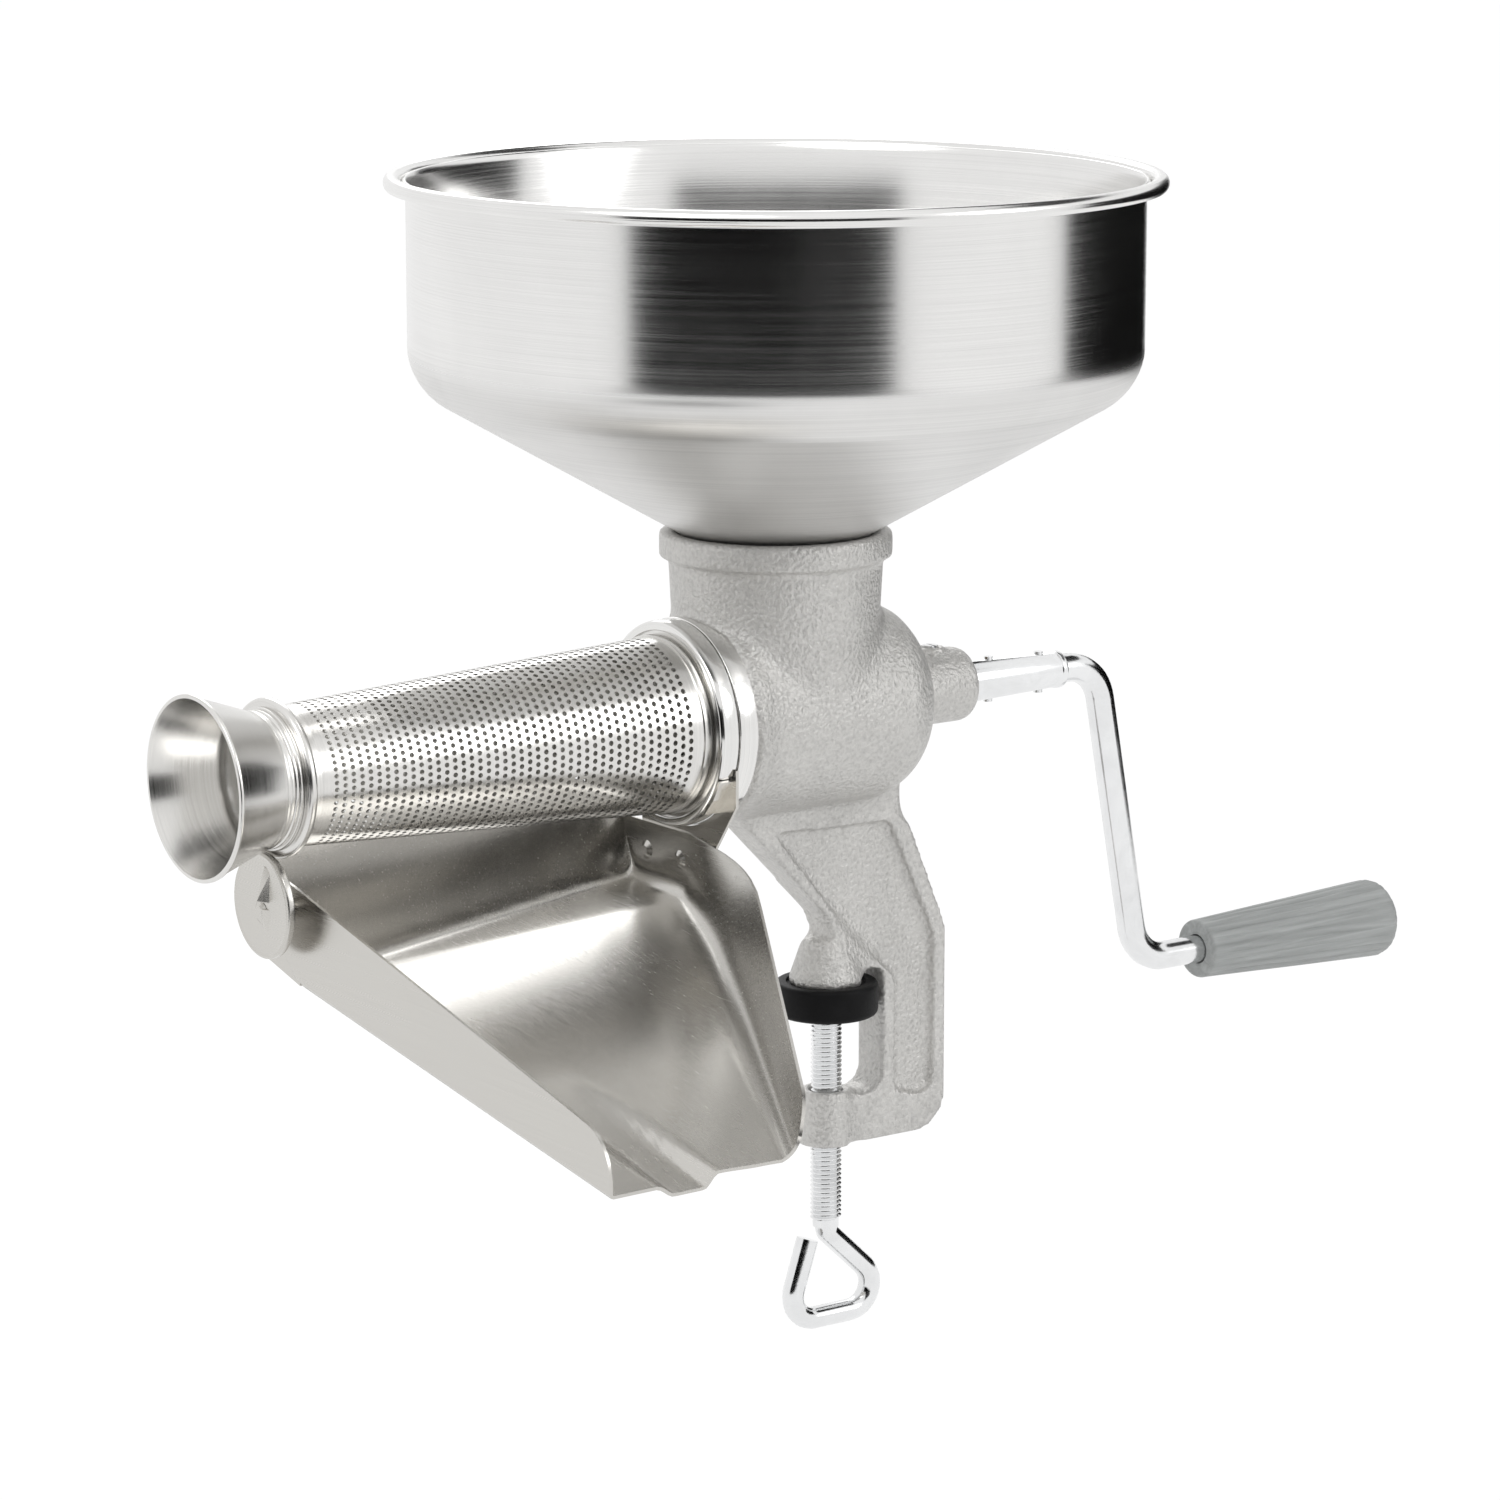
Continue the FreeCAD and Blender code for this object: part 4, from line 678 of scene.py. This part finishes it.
makeOutlet(outletSizes)
print("sieve and outlet done")

# juice tray: one pressed sheet with a leaning back wall, drawn as rows from its back edge to its lip
traySizes = {"left": -178.6, "right": -37.2, "back": 30.0, "lip": -171.15, "sheet": 1.0, "columns": 44,
             # the fold in the floor, the back wall's foot and its top: heights at the left and right
             "foldY": -7.0, "foldRight": -55.0, "footY": 24.0, "foot": (-61.0, -53.0),
             "backTop": (-25.0, -34.0), "creaseSoft": 1.6, "creaseReach": 30, "ease": 16.0, "easeRuns": 4,
             # the side walls: folds at their feet, rounded front corners, rows up the wall
             "leftFold": 1.2, "rightFold": 8.0, "foldShare": 0.4, "foldBow": 0.3, "foldRuns": 5,
             "leftRound": 11.0, "rightRound": 9.0, "edgeShare": 0.06, "footShare": 0.04,
             "rightShares": (0.1, 0.5, 0.93, 1.0), "leastRight": 1.05,
             "rimRound": 0.3, "rimSteps": 2, "rimAngle": 60, "sharp": 60,
             # the pressed ribs: place and depth at the lip
             "pressStart": -98.0, "lipLevel": 0.6,
             "ribs": [(-178.6, 0.0), (-163.4, 0.0), (-157.5, -2.9), (-147.5, -2.9), (-142.6, 0.9),
                      (-128.0, 0.3), (-118.0, 0.0)],
             # y, left floor, left top, right floor place and height, right top place and height
             "stations": [
                 (30, -27.0, -25.0, -37.2, -36.0, -37.2, -34.0),
                 (24, -31.0, -26.1, -37.2, -53.0, -37.2, -34.0),
                 (-7, -61.0, -32.0, -37.2, -55.0, -37.2, -34.0),
                 (-41, -66.5, -40.2, -52.0, -62.5, -38.0, -39.0),
                 (-171.15, -87.5, -71.4, -116.0, -85.2, -112.0, -72.5),
             ],
             "rows": [30, 29, 27.5, 26, 24.5, 23, 21, 18, 15, 12, 9, 6, 3, 0, -3, -6, -8, -11, -15, -20, -26,
                      -32, -37, -41, -46, -54, -64, -74, -84, -94, -102, -110, -118, -126, -134, -142, -150,
                      -156, -160, -163, -165.5, -167.5, -169, -170.2, -171.15]}


def easeAcross(pairs, x):
    for (x0, d0), (x1, d1) in zip(pairs, pairs[1:]):
        if x0 <= x <= x1:
            share = (x - x0) / (x1 - x0)
            return d0 + (d1 - d0) * share * share * (3 - 2 * share)
    return 0.0


def makeTray(s):
    def straight(y):
        for one, two in zip(s["stations"], s["stations"][1:]):
            if one[0] >= y >= two[0]:
                share = (y - one[0]) / (two[0] - one[0])
                return [between(a, b, share) for a, b in zip(one, two)]

    def station(y):  # the flare is one soft curve between the fold and the lip
        reach = min(s["ease"], max(0.0, s["foldY"] - y), y - s["lip"])
        runs = s["easeRuns"]
        near = [straight(y + reach * k / runs) for k in range(-runs, runs + 1)]
        return [sum(values) / len(near) for values in zip(*near)]

    def cornerFall(y, radius):  # the drop of a rounded front corner
        ahead = max(0.0, s["lip"] + radius - y)
        return radius - math.sqrt(max(0.0, radius ** 2 - ahead ** 2))

    def floorHeight(x, y, floor, right, rightFloor):
        share = (x - s["left"]) / (s["right"] - s["left"])
        if y < s["foldY"]:
            level = floor + (rightFloor - floor) * (x - s["left"]) / (right - s["left"])
            press = min(1.0, max(0.0, (s["pressStart"] - y) / (s["pressStart"] - s["lip"])))
            level += easeAcross(s["ribs"], x) * press + (floor - level) * s["lipLevel"] * press
        else:
            level = between(s["foot"][0], s["foldRight"], share)
            level += (s["foot"][1] - s["foldRight"]) * (y - s["foldY"]) / (s["footY"] - s["foldY"])
        footY = between(s["foldY"], s["footY"], share)
        footZ = between(*s["foot"], share)
        topZ = between(*s["backTop"], share)
        lean = footZ + (topZ - footZ) * (y - footY) / (s["back"] - footY)
        gap = (lean - level) / s["creaseSoft"]
        if abs(gap) > s["creaseReach"]:
            return max(lean, level)
        return level + s["creaseSoft"] * math.log(1 + math.exp(gap))  # the wall's foot is a soft fold

    def section(y):
        y, floor, top, right, rightFloor, rightTop, rightHigh = station(y)
        top -= cornerFall(y, s["leftRound"])
        wall = top - floor
        leftFold = min(s["leftFold"], wall * s["foldShare"])
        spots = [(s["left"], z) for z in (
            top,
            top - wall * s["edgeShare"],
            (top + floor + leftFold) / 2,
            floor + leftFold + wall * s["footShare"],
            floor + leftFold,
        )]
        spots.append((s["left"] + leftFold * s["foldBow"], floor + leftFold * s["foldBow"]))
        rightFold = min(s["rightFold"], (rightHigh - rightFloor) * s["foldShare"])
        first, last = s["left"] + leftFold, right - rightFold
        for i in range(s["columns"] + 1):
            x = first + (last - first) * i / s["columns"]
            spots.append((x, floorHeight(x, y, floor, right, rightFloor)))
        foldStart = spots[-1]
        height = math.hypot(rightTop - right, rightHigh - rightFloor)
        up = ((rightTop - right) / height, (rightHigh - rightFloor) / height)
        foldStop = (right + up[0] * rightFold, rightFloor + up[1] * rightFold)
        for i in range(1, s["foldRuns"] + 1):  # the right fold is a curve from the floor into the wall
            share = i / s["foldRuns"]
            spots.append(tuple(a * (1 - share) ** 2 + 2 * b * share * (1 - share) + c * share ** 2
                               for a, b, c in zip(foldStart, (right, rightFloor), foldStop)))
        end = max(height - cornerFall(y, s["rightRound"]), rightFold * s["leastRight"])
        for share in s["rightShares"]:
            reach = between(rightFold, end, share)
            spots.append((right + up[0] * reach, rightFloor + up[1] * reach))
        return [at(x, y, z) for x, z in spots]

    bm = bmesh.new()
    line = [bm.verts.new(spot) for spot in section(s["rows"][0])]
    edges = [bm.edges.new(pair) for pair in zip(line, line[1:])]
    for y in s["rows"][1:]:
        fresh = onlyVerts(bmesh.ops.extrude_edge_only(bm, edges=edges)["geom"])
        line = [min(fresh, key=lambda v: (v.co - old.co).length) for old in line]
        for vert, spot in zip(line, section(y)):
            vert.co = spot
        edges = [bm.edges.get(pair) for pair in zip(line, line[1:])]
    bmesh.ops.recalc_face_normals(bm, faces=bm.faces)
    downward = sum(f.normal.z * f.calc_area() for f in bm.faces) < 0
    if not downward:
        bmesh.ops.reverse_faces(bm, faces=bm.faces)
    bmesh.ops.solidify(bm, geom=bm.faces[:], thickness=s["sheet"] / 1000)
    piece = settle("trayPressed", bm, "frame", "tray_steel", s["sharp"])
    rim = piece.modifiers.new("rim", "BEVEL")
    rim.width = s["rimRound"] / 1000
    rim.segments = s["rimSteps"]
    rim.limit_method = "ANGLE"
    rim.angle_limit = math.radians(s["rimAngle"])
    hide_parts("drip_tray")


makeTray(traySizes)

# the left wall runs on behind the fold, to the latch: corners as y and z
wallEndSizes = {"corners": [(-9, -61.25), (16, -54.8), (16, -34.0), (-9, -39.6)], "left": -178.55,
                "sheet": 0.9, "sharp": 30}


def makeWallEnd(s):
    bm = bmesh.new()
    face = bm.faces.new([bm.verts.new(at(s["left"], y, z)) for y, z in s["corners"]])
    made = bmesh.ops.extrude_face_region(bm, geom=[face])["geom"]
    bmesh.ops.translate(bm, verts=onlyVerts(made), vec=(s["sheet"] / 1000, 0, 0))
    settle("trayWallEnd", bm, "frame", "tray_steel", s["sharp"])


makeWallEnd(wallEndSizes)
print("tray done")

# latch disc with its pressed finger grip
latchSizes = {"back": -183.6, "front": -186.0, "radius": 16.0, "bore": 2.1, "backRound": 0.7,
              "faceInset": 1.6, "faceRound": 0.5, "beadInset": 0.9, "beadRise": 0.35, "beadRound": 0.3,
              "edgeDrop": 0.2, "edgeRound": 0.35, "steps": 96, "sharp": 12,
              # the grip's points: place across, place above the disc's middle and height
              "sink": 0.3, "gripRound": 0.4,
              "tongue": [(2.4, 1.2, 0.0), (-0.6, 12.6, 0.0), (-1.8, 1.8, 3.1), (-2.6, 12.2, 0.5),
                         (-5.0, 1.4, 0.0), (-5.6, 11.6, 0.0)],
              "fan": [(2.0, -0.2, 0.0), (-0.8, -8.6, 0.0), (-4.6, -8.0, 0.0), (-5.6, -0.4, 0.0),
                      (-1.8, -0.6, 1.6), (-2.8, -6.4, 0.6)]}


def makeLatch(s):
    bm = turned([
        (s["front"], s["bore"]),
        (s["front"], s["radius"] - s["faceInset"], s["faceRound"]),
        (s["front"] - s["beadRise"], s["radius"] - s["beadInset"], s["beadRound"]),
        (s["front"] + s["edgeDrop"], s["radius"], s["edgeRound"]),
        (s["back"], s["radius"], s["backRound"]),
        (s["back"], s["bore"]),
    ], "latch", s["steps"])
    for spots in (s["tongue"], s["fan"]):
        made = [bm.verts.new(at(s["front"] + s["sink"] - high, y, z - axisPlaces["latchDrop"]))
                for y, z, high in spots]
        hull = bmesh.ops.convex_hull(bm, input=made)["geom"]
        roundEdges(bm, onlyEdges(hull), s["gripRound"])
    piece = settle("latchDisc", bm, "latch", "tray_steel", s["sharp"])
    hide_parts("tray_latch")


makeLatch(latchSizes)
print("latch done")

# crank rod with its two bends
crankSizes = {"radius": 4.65, "start": 92.3, "elbow": 128.3, "splay": 19.0, "bend": 14.0, "end": 242.5}


def makeCrank(s):
    drop = -axisPlaces["gripDrop"]
    piece = bentRod("crankRod", [
        (s["start"], 0, 0),
        (s["elbow"], 0, s["bend"]),
        (s["elbow"] + s["splay"], drop, s["bend"]),
        (s["end"], drop, 0),
    ], s["radius"], "crank", "bright_zinc")
    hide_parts("crank_arm")


makeCrank(crankSizes)

# tapered socket with a lip
socketSizes = {"bore": 4.75, "front": 73.3, "frontRadius": 6.9, "frontRound": 0.4, "taperEnd": 110.1,
               "taperRadius": 5.7, "lipStart": 110.7, "startRound": 0.3, "lip": 112.7, "lipRadius": 6.1,
               "lipRound": 0.6, "steps": 64, "sharp": 40}


def makeSocket(s):
    bm = turned([
        (s["front"], s["bore"]),
        (s["front"], s["frontRadius"], s["frontRound"]),
        (s["taperEnd"], s["taperRadius"]),
        (s["lipStart"], s["lipRadius"], s["startRound"]),
        (s["lip"], s["lipRadius"], s["lipRound"]),
        (s["lip"], s["bore"]),
    ], "barrel", s["steps"])
    piece = settle("crankSleeve", bm, "crank", "bright_zinc", s["sharp"])
    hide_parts("crank_socket")


makeSocket(socketSizes)

# ribbed grip with a domed end
gripSizes = {"front": 173.5, "back": 254.5, "small": 9.75, "large": 13.2, "frontRound": 0.9,
             "bore": 4.9, "boreDepth": 10, "boreRound": 0.4, "runs": 22, "steps": 192, "sharp": 46,
             # the domed end: place before the back and drop from the large radius
             "domeLength": 5, "dome": [(4.2, 0.05), (2.2, 0.7), (0.8, 2.1), (0, 4.4)],
             # grooves between the ribs: where they fade in and out, and their slight sway
             "ribs": 24, "depth": 0.55, "narrow": 3, "core": 9, "fadeIn": 2.0, "fadeInLength": 2.5,
             "fadeOut": 82, "fadeOutLength": 10, "sway": 0.035, "swayPace": 0.11, "swayLobes": 3}


def makeGrip(s):
    corners = [(s["front"] + s["boreDepth"], s["bore"]), (s["front"], s["bore"], s["boreRound"]),
               (s["front"], s["small"], s["frontRound"])]
    for i in range(1, s["runs"]):
        share = i / s["runs"]
        corners.append((between(s["front"], s["back"] - s["domeLength"], share),
                        between(s["small"], s["large"], share)))
    corners += [(s["back"] - before, s["large"] - drop) for before, drop in s["dome"]]
    corners.append((s["back"], 0))
    bm = turned(corners, "grip", s["steps"], closed=False)
    centre = turningAxes["grip"][0]
    for vert in bm.verts:
        spot = vert.co - centre
        start = (vert.co.x - at(s["front"], 0, 0).x) * 1000
        if spot.yz.length < s["core"] / 1000 or start < s["fadeIn"]:
            continue
        fade = min(1.0, (start - s["fadeIn"]) / s["fadeInLength"])
        fade *= min(1.0, max(0.0, (s["fadeOut"] - start) / s["fadeOutLength"]))
        turn = math.atan2(spot.y, spot.z)
        turn += s["sway"] * math.sin(start * s["swayPace"]) * math.sin(s["swayLobes"] * turn)
        groove = (0.5 + 0.5 * math.cos(turn * s["ribs"])) ** s["narrow"]
        vert.co -= Vector((0, spot.y, spot.z)).normalized() * (groove * fade * s["depth"] / 1000)
    piece = settle("gripRibbed", bm, "grip", "grey_plastic", s["sharp"])
    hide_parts("crank_grip")


makeGrip(gripSizes)
print("crank done")

# clamp screw: one tooth wound up the rod, with plain ends
screwSizes = {"crest": 4.98, "root": 4.15, "pitch": 1.5, "top": -101.6, "bottom": -169.6, "steps": 20,
              # the tooth's flank, flat and foot, as shares of half the pitch
              "flank": 0.75, "flat": 1.15, "foot": 1.9,
              "plainEnd": 1.6, "plainRadius": 4.2, "plainSteps": 40, "toothGap": 2e-6, "sharp": 24}


def makeScrew(s):
    centre = turningAxes["screw"][0]
    bm = bmesh.new()
    half = s["pitch"] / 2
    tooth = [
        (0.0, s["root"]),
        (half * s["flank"], s["crest"]),
        (half * s["flat"], s["crest"]),
        (half * s["foot"], s["root"]),
        (s["pitch"], s["root"]),
    ]
    spots = [bm.verts.new(centre + upright * ((s["bottom"] + z) / 1000) + alongBarrel * (r / 1000))
             for z, r in tooth]
    runs = [bm.edges.new(pair) for pair in zip(spots, spots[1:])]
    turns = int((s["top"] - s["bottom"]) / s["pitch"]) - 1
    bmesh.ops.spin(bm, geom=spots + runs, cent=centre, axis=upright, angle=math.tau * turns,
                   dvec=upright * (s["pitch"] / s["steps"] / 1000), steps=s["steps"] * turns)
    bmesh.ops.remove_doubles(bm, verts=bm.verts, dist=s["toothGap"])
    plain = s["plainEnd"]
    for low, high in ((s["bottom"] - plain, s["bottom"] + plain), (s["top"] - plain, s["top"])):
        made = bmesh.ops.create_cone(bm, cap_ends=True, segments=s["plainSteps"],
                                     radius1=s["plainRadius"] / 1000, radius2=s["plainRadius"] / 1000,
                                     depth=(high - low) / 1000)["verts"]
        bmesh.ops.translate(bm, verts=made, vec=centre + upright * ((low + high) / 2000))
    piece = settle("screwThread", bm, "screw", "bright_zinc", s["sharp"])
    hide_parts("clamp_screw")


makeScrew(screwSizes)

# the eye at the screw's lower end, one bent rod
eyeSizes = {"radius": 3.5, "top": -167.5, "turn": -173.0, "bottom": -201.2, "right": 50.0, "left": 4.0,
            "round": 8.2, "shoulder": 4.0, "end": (12.8, -174.5)}


def makeEye(s):
    bentRod("screwEye", [
        (axisPlaces["screwBack"], s["top"], 0),
        (axisPlaces["screwBack"], s["turn"], s["shoulder"]),
        (s["right"], s["bottom"], s["round"]),
        (s["left"], s["bottom"], s["round"]),
        (*s["end"], 0),
    ], s["radius"], "screw", "bright_zinc")


makeEye(eyeSizes)

# rubber cup with a socket for the screw
padSizes = {"radius": 16.5, "recess": 12.8, "rim": -90.2, "base": -101.0, "floor": -91.3, "bore": 3.4,
            "boreDepth": 3, "floorRound": 0.4, "lipRound": 0.3, "rimRound": 1.5, "baseRound": 1.8,
            "steps": 96, "roundSteps": 4, "sharp": 40}


def makePad(s):
    boreTop = s["base"] + s["boreDepth"]
    bm = turned([
        (s["floor"], 0),
        (s["floor"], s["recess"], s["floorRound"]),
        (s["rim"], s["recess"], s["lipRound"]),
        (s["rim"], s["radius"], s["rimRound"]),
        (s["base"], s["radius"], s["baseRound"]),
        (s["base"], s["bore"]),
        (boreTop, s["bore"]),
        (boreTop, 0),
    ], "screw", s["steps"], s["roundSteps"], closed=False)
    piece = settle("padCup", bm, "pad", "black_rubber", s["sharp"])
    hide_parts("clamp_pad")


makePad(padSizes)
print("clamp done")


# white for the eye and for reflections, plain grey light for everything else
def seenWhite(tree):
    path = tree.nodes.new("ShaderNodeLightPath")
    seen = path.outputs["Is Camera Ray"]
    for kind in ("Is Glossy Ray", "Is Transmission Ray"):
        either = tree.nodes.new("ShaderNodeMath")
        either.operation = "MAXIMUM"
        tree.links.new(seen, either.inputs[0])
        tree.links.new(path.outputs[kind], either.inputs[1])
        seen = either.outputs["Value"]
    return seen


# the stage is in metres
floorSizes = {"height": -0.1376, "span": 14.0, "colour": (0.86, 0.86, 0.86), "rough": 0.9, "glow": 1.05,
              "glowShare": 0.92}


def makeFloor(s):
    finish, tree, shader = newFinish("paleFloor", s["colour"], 0.0, s["rough"])
    glow = tree.nodes.new("ShaderNodeEmission")
    glow.inputs["Strength"].default_value = s["glow"]
    lift = tree.nodes.new("ShaderNodeMixShader")
    amount = tree.nodes.new("ShaderNodeMath")
    amount.operation = "MULTIPLY"
    amount.inputs[1].default_value = s["glowShare"]
    tree.links.new(seenWhite(tree), amount.inputs[0])
    tree.links.new(amount.outputs["Value"], lift.inputs["Fac"])
    tree.links.new(shader.outputs["BSDF"], lift.inputs[1])
    tree.links.new(glow.outputs["Emission"], lift.inputs[2])
    tree.links.new(lift.outputs["Shader"], tree.nodes["Material Output"].inputs["Surface"])
    bm = bmesh.new()
    bmesh.ops.create_grid(bm, x_segments=1, y_segments=1, size=s["span"] / 2)
    bmesh.ops.translate(bm, verts=bm.verts, vec=(0, 0, s["height"]))
    floor = placed("studioFloor", bm, finish)


makeFloor(floorSizes)

# dark curved cards that only reflections see
cardSteps = 24
cardSizes = [
    {"reach": 1.15, "start": 191, "stop": 241, "low": -0.11, "high": 0.5, "tone": 0.005},
    {"reach": 1.15, "start": 241, "stop": 269, "low": -0.11, "high": 0.5, "tone": 0.03},
    {"reach": 1.15, "start": 330, "stop": 395.5, "low": -0.11, "high": 0.5, "tone": 0.006},
    {"reach": 1.15, "start": 325, "stop": 405, "low": 1.0, "high": 1.75, "tone": 0.01},
    {"reach": 0.55, "start": 192, "stop": 226, "low": -0.11, "high": -0.02, "tone": 0.01},
]


def makeCards(cards):
    for number, s in enumerate(cards):
        finish = newFinish("blackCard%d" % number, (s["tone"],) * 3, 0.0, 1.0, gloss=0.0)[0]
        bm = bmesh.new()
        out = Matrix.Rotation(math.radians(s["start"]), 3, "Z") @ Vector((s["reach"], 0, 0))
        ends = [bm.verts.new(Vector((crossing.x + out.x, out.y, z))) for z in (s["low"], s["high"])]
        edge = bm.edges.new(ends)
        bmesh.ops.spin(bm, geom=ends + [edge], cent=crossing, axis=upright,
                       angle=math.radians(s["stop"] - s["start"]), steps=cardSteps)
        card = placed("studioCard%d" % number, bm, finish)
        card.visible_camera = False
        card.visible_diffuse = False
        card.visible_shadow = False
        card.visible_transmission = False


makeCards(cardSizes)

worldSizes = {"white": 1.0, "ambient": 0.55}


def makeWorld(s):
    world = bpy.data.worlds.new("studioLight")
    world.use_nodes = True
    scene.world = world
    tree = world.node_tree
    shine = tree.nodes["Background"]
    shine.inputs["Color"].default_value = (1, 1, 1, 1)
    strength = tree.nodes.new("ShaderNodeMapRange")
    strength.inputs["To Min"].default_value = s["ambient"]
    strength.inputs["To Max"].default_value = s["white"]
    tree.links.new(seenWhite(tree), strength.inputs["Value"])
    tree.links.new(strength.outputs["Result"], shine.inputs["Strength"])


makeWorld(worldSizes)

lampAim = Vector((-0.02, 0, 0.08))
lampSizes = [
    {"name": "keyLamp", "place": (-1.3, -0.5, 1.5), "size": 1.3, "power": 11},
    {"name": "fillLamp", "place": (0.9, -1.5, 0.9), "size": 1.0, "power": 5},
    {"name": "backLamp", "place": (0.6, 1.4, 1.1), "size": 1.0, "power": 5},
]


def makeLamps(lamps):
    for s in lamps:
        lamp = bpy.data.lights.new(s["name"], "AREA")
        lamp.shape = "DISK"
        lamp.size = s["size"]
        lamp.energy = s["power"]
        holder = bpy.data.objects.new(s["name"], lamp)
        holder.location = s["place"]
        aim = lampAim - Vector(s["place"])
        holder.rotation_euler = aim.to_track_quat("-Z", "Y").to_euler()
        scene.collection.objects.link(holder)


makeLamps(lampSizes)

cameraSizes = {"azimuth": -35.82, "yaw": -0.28, "pitch": 11.65, "place": (-0.9696, -1.3156, 0.41217),
               "lens": 127.303, "sensor": 36, "nearest": 0.05}


def makeCamera(s):
    turn, yaw, pitch = (math.radians(s[k]) for k in ("azimuth", "yaw", "pitch"))
    right = Vector((math.cos(turn), math.sin(turn), 0))
    ahead = Vector((-math.sin(turn), math.cos(turn), 0))
    level = ahead * math.cos(yaw) + right * math.sin(yaw)
    side = right * math.cos(yaw) - ahead * math.sin(yaw)
    gaze = level * math.cos(pitch) - upright * math.sin(pitch)
    head = level * math.sin(pitch) + upright * math.cos(pitch)
    view = bpy.data.cameras.new("photoCamera")
    view.lens = s["lens"]
    view.sensor_width = s["sensor"]
    view.clip_start = s["nearest"]
    holder = bpy.data.objects.new("photoCamera", view)
    holder.matrix_world = Matrix.Translation(s["place"]) @ Matrix((side, head, -gaze)).transposed().to_4x4()
    scene.collection.objects.link(holder)
    scene.camera = holder


makeCamera(cameraSizes)
scene.view_settings.view_transform = "Standard"
print("stage done")
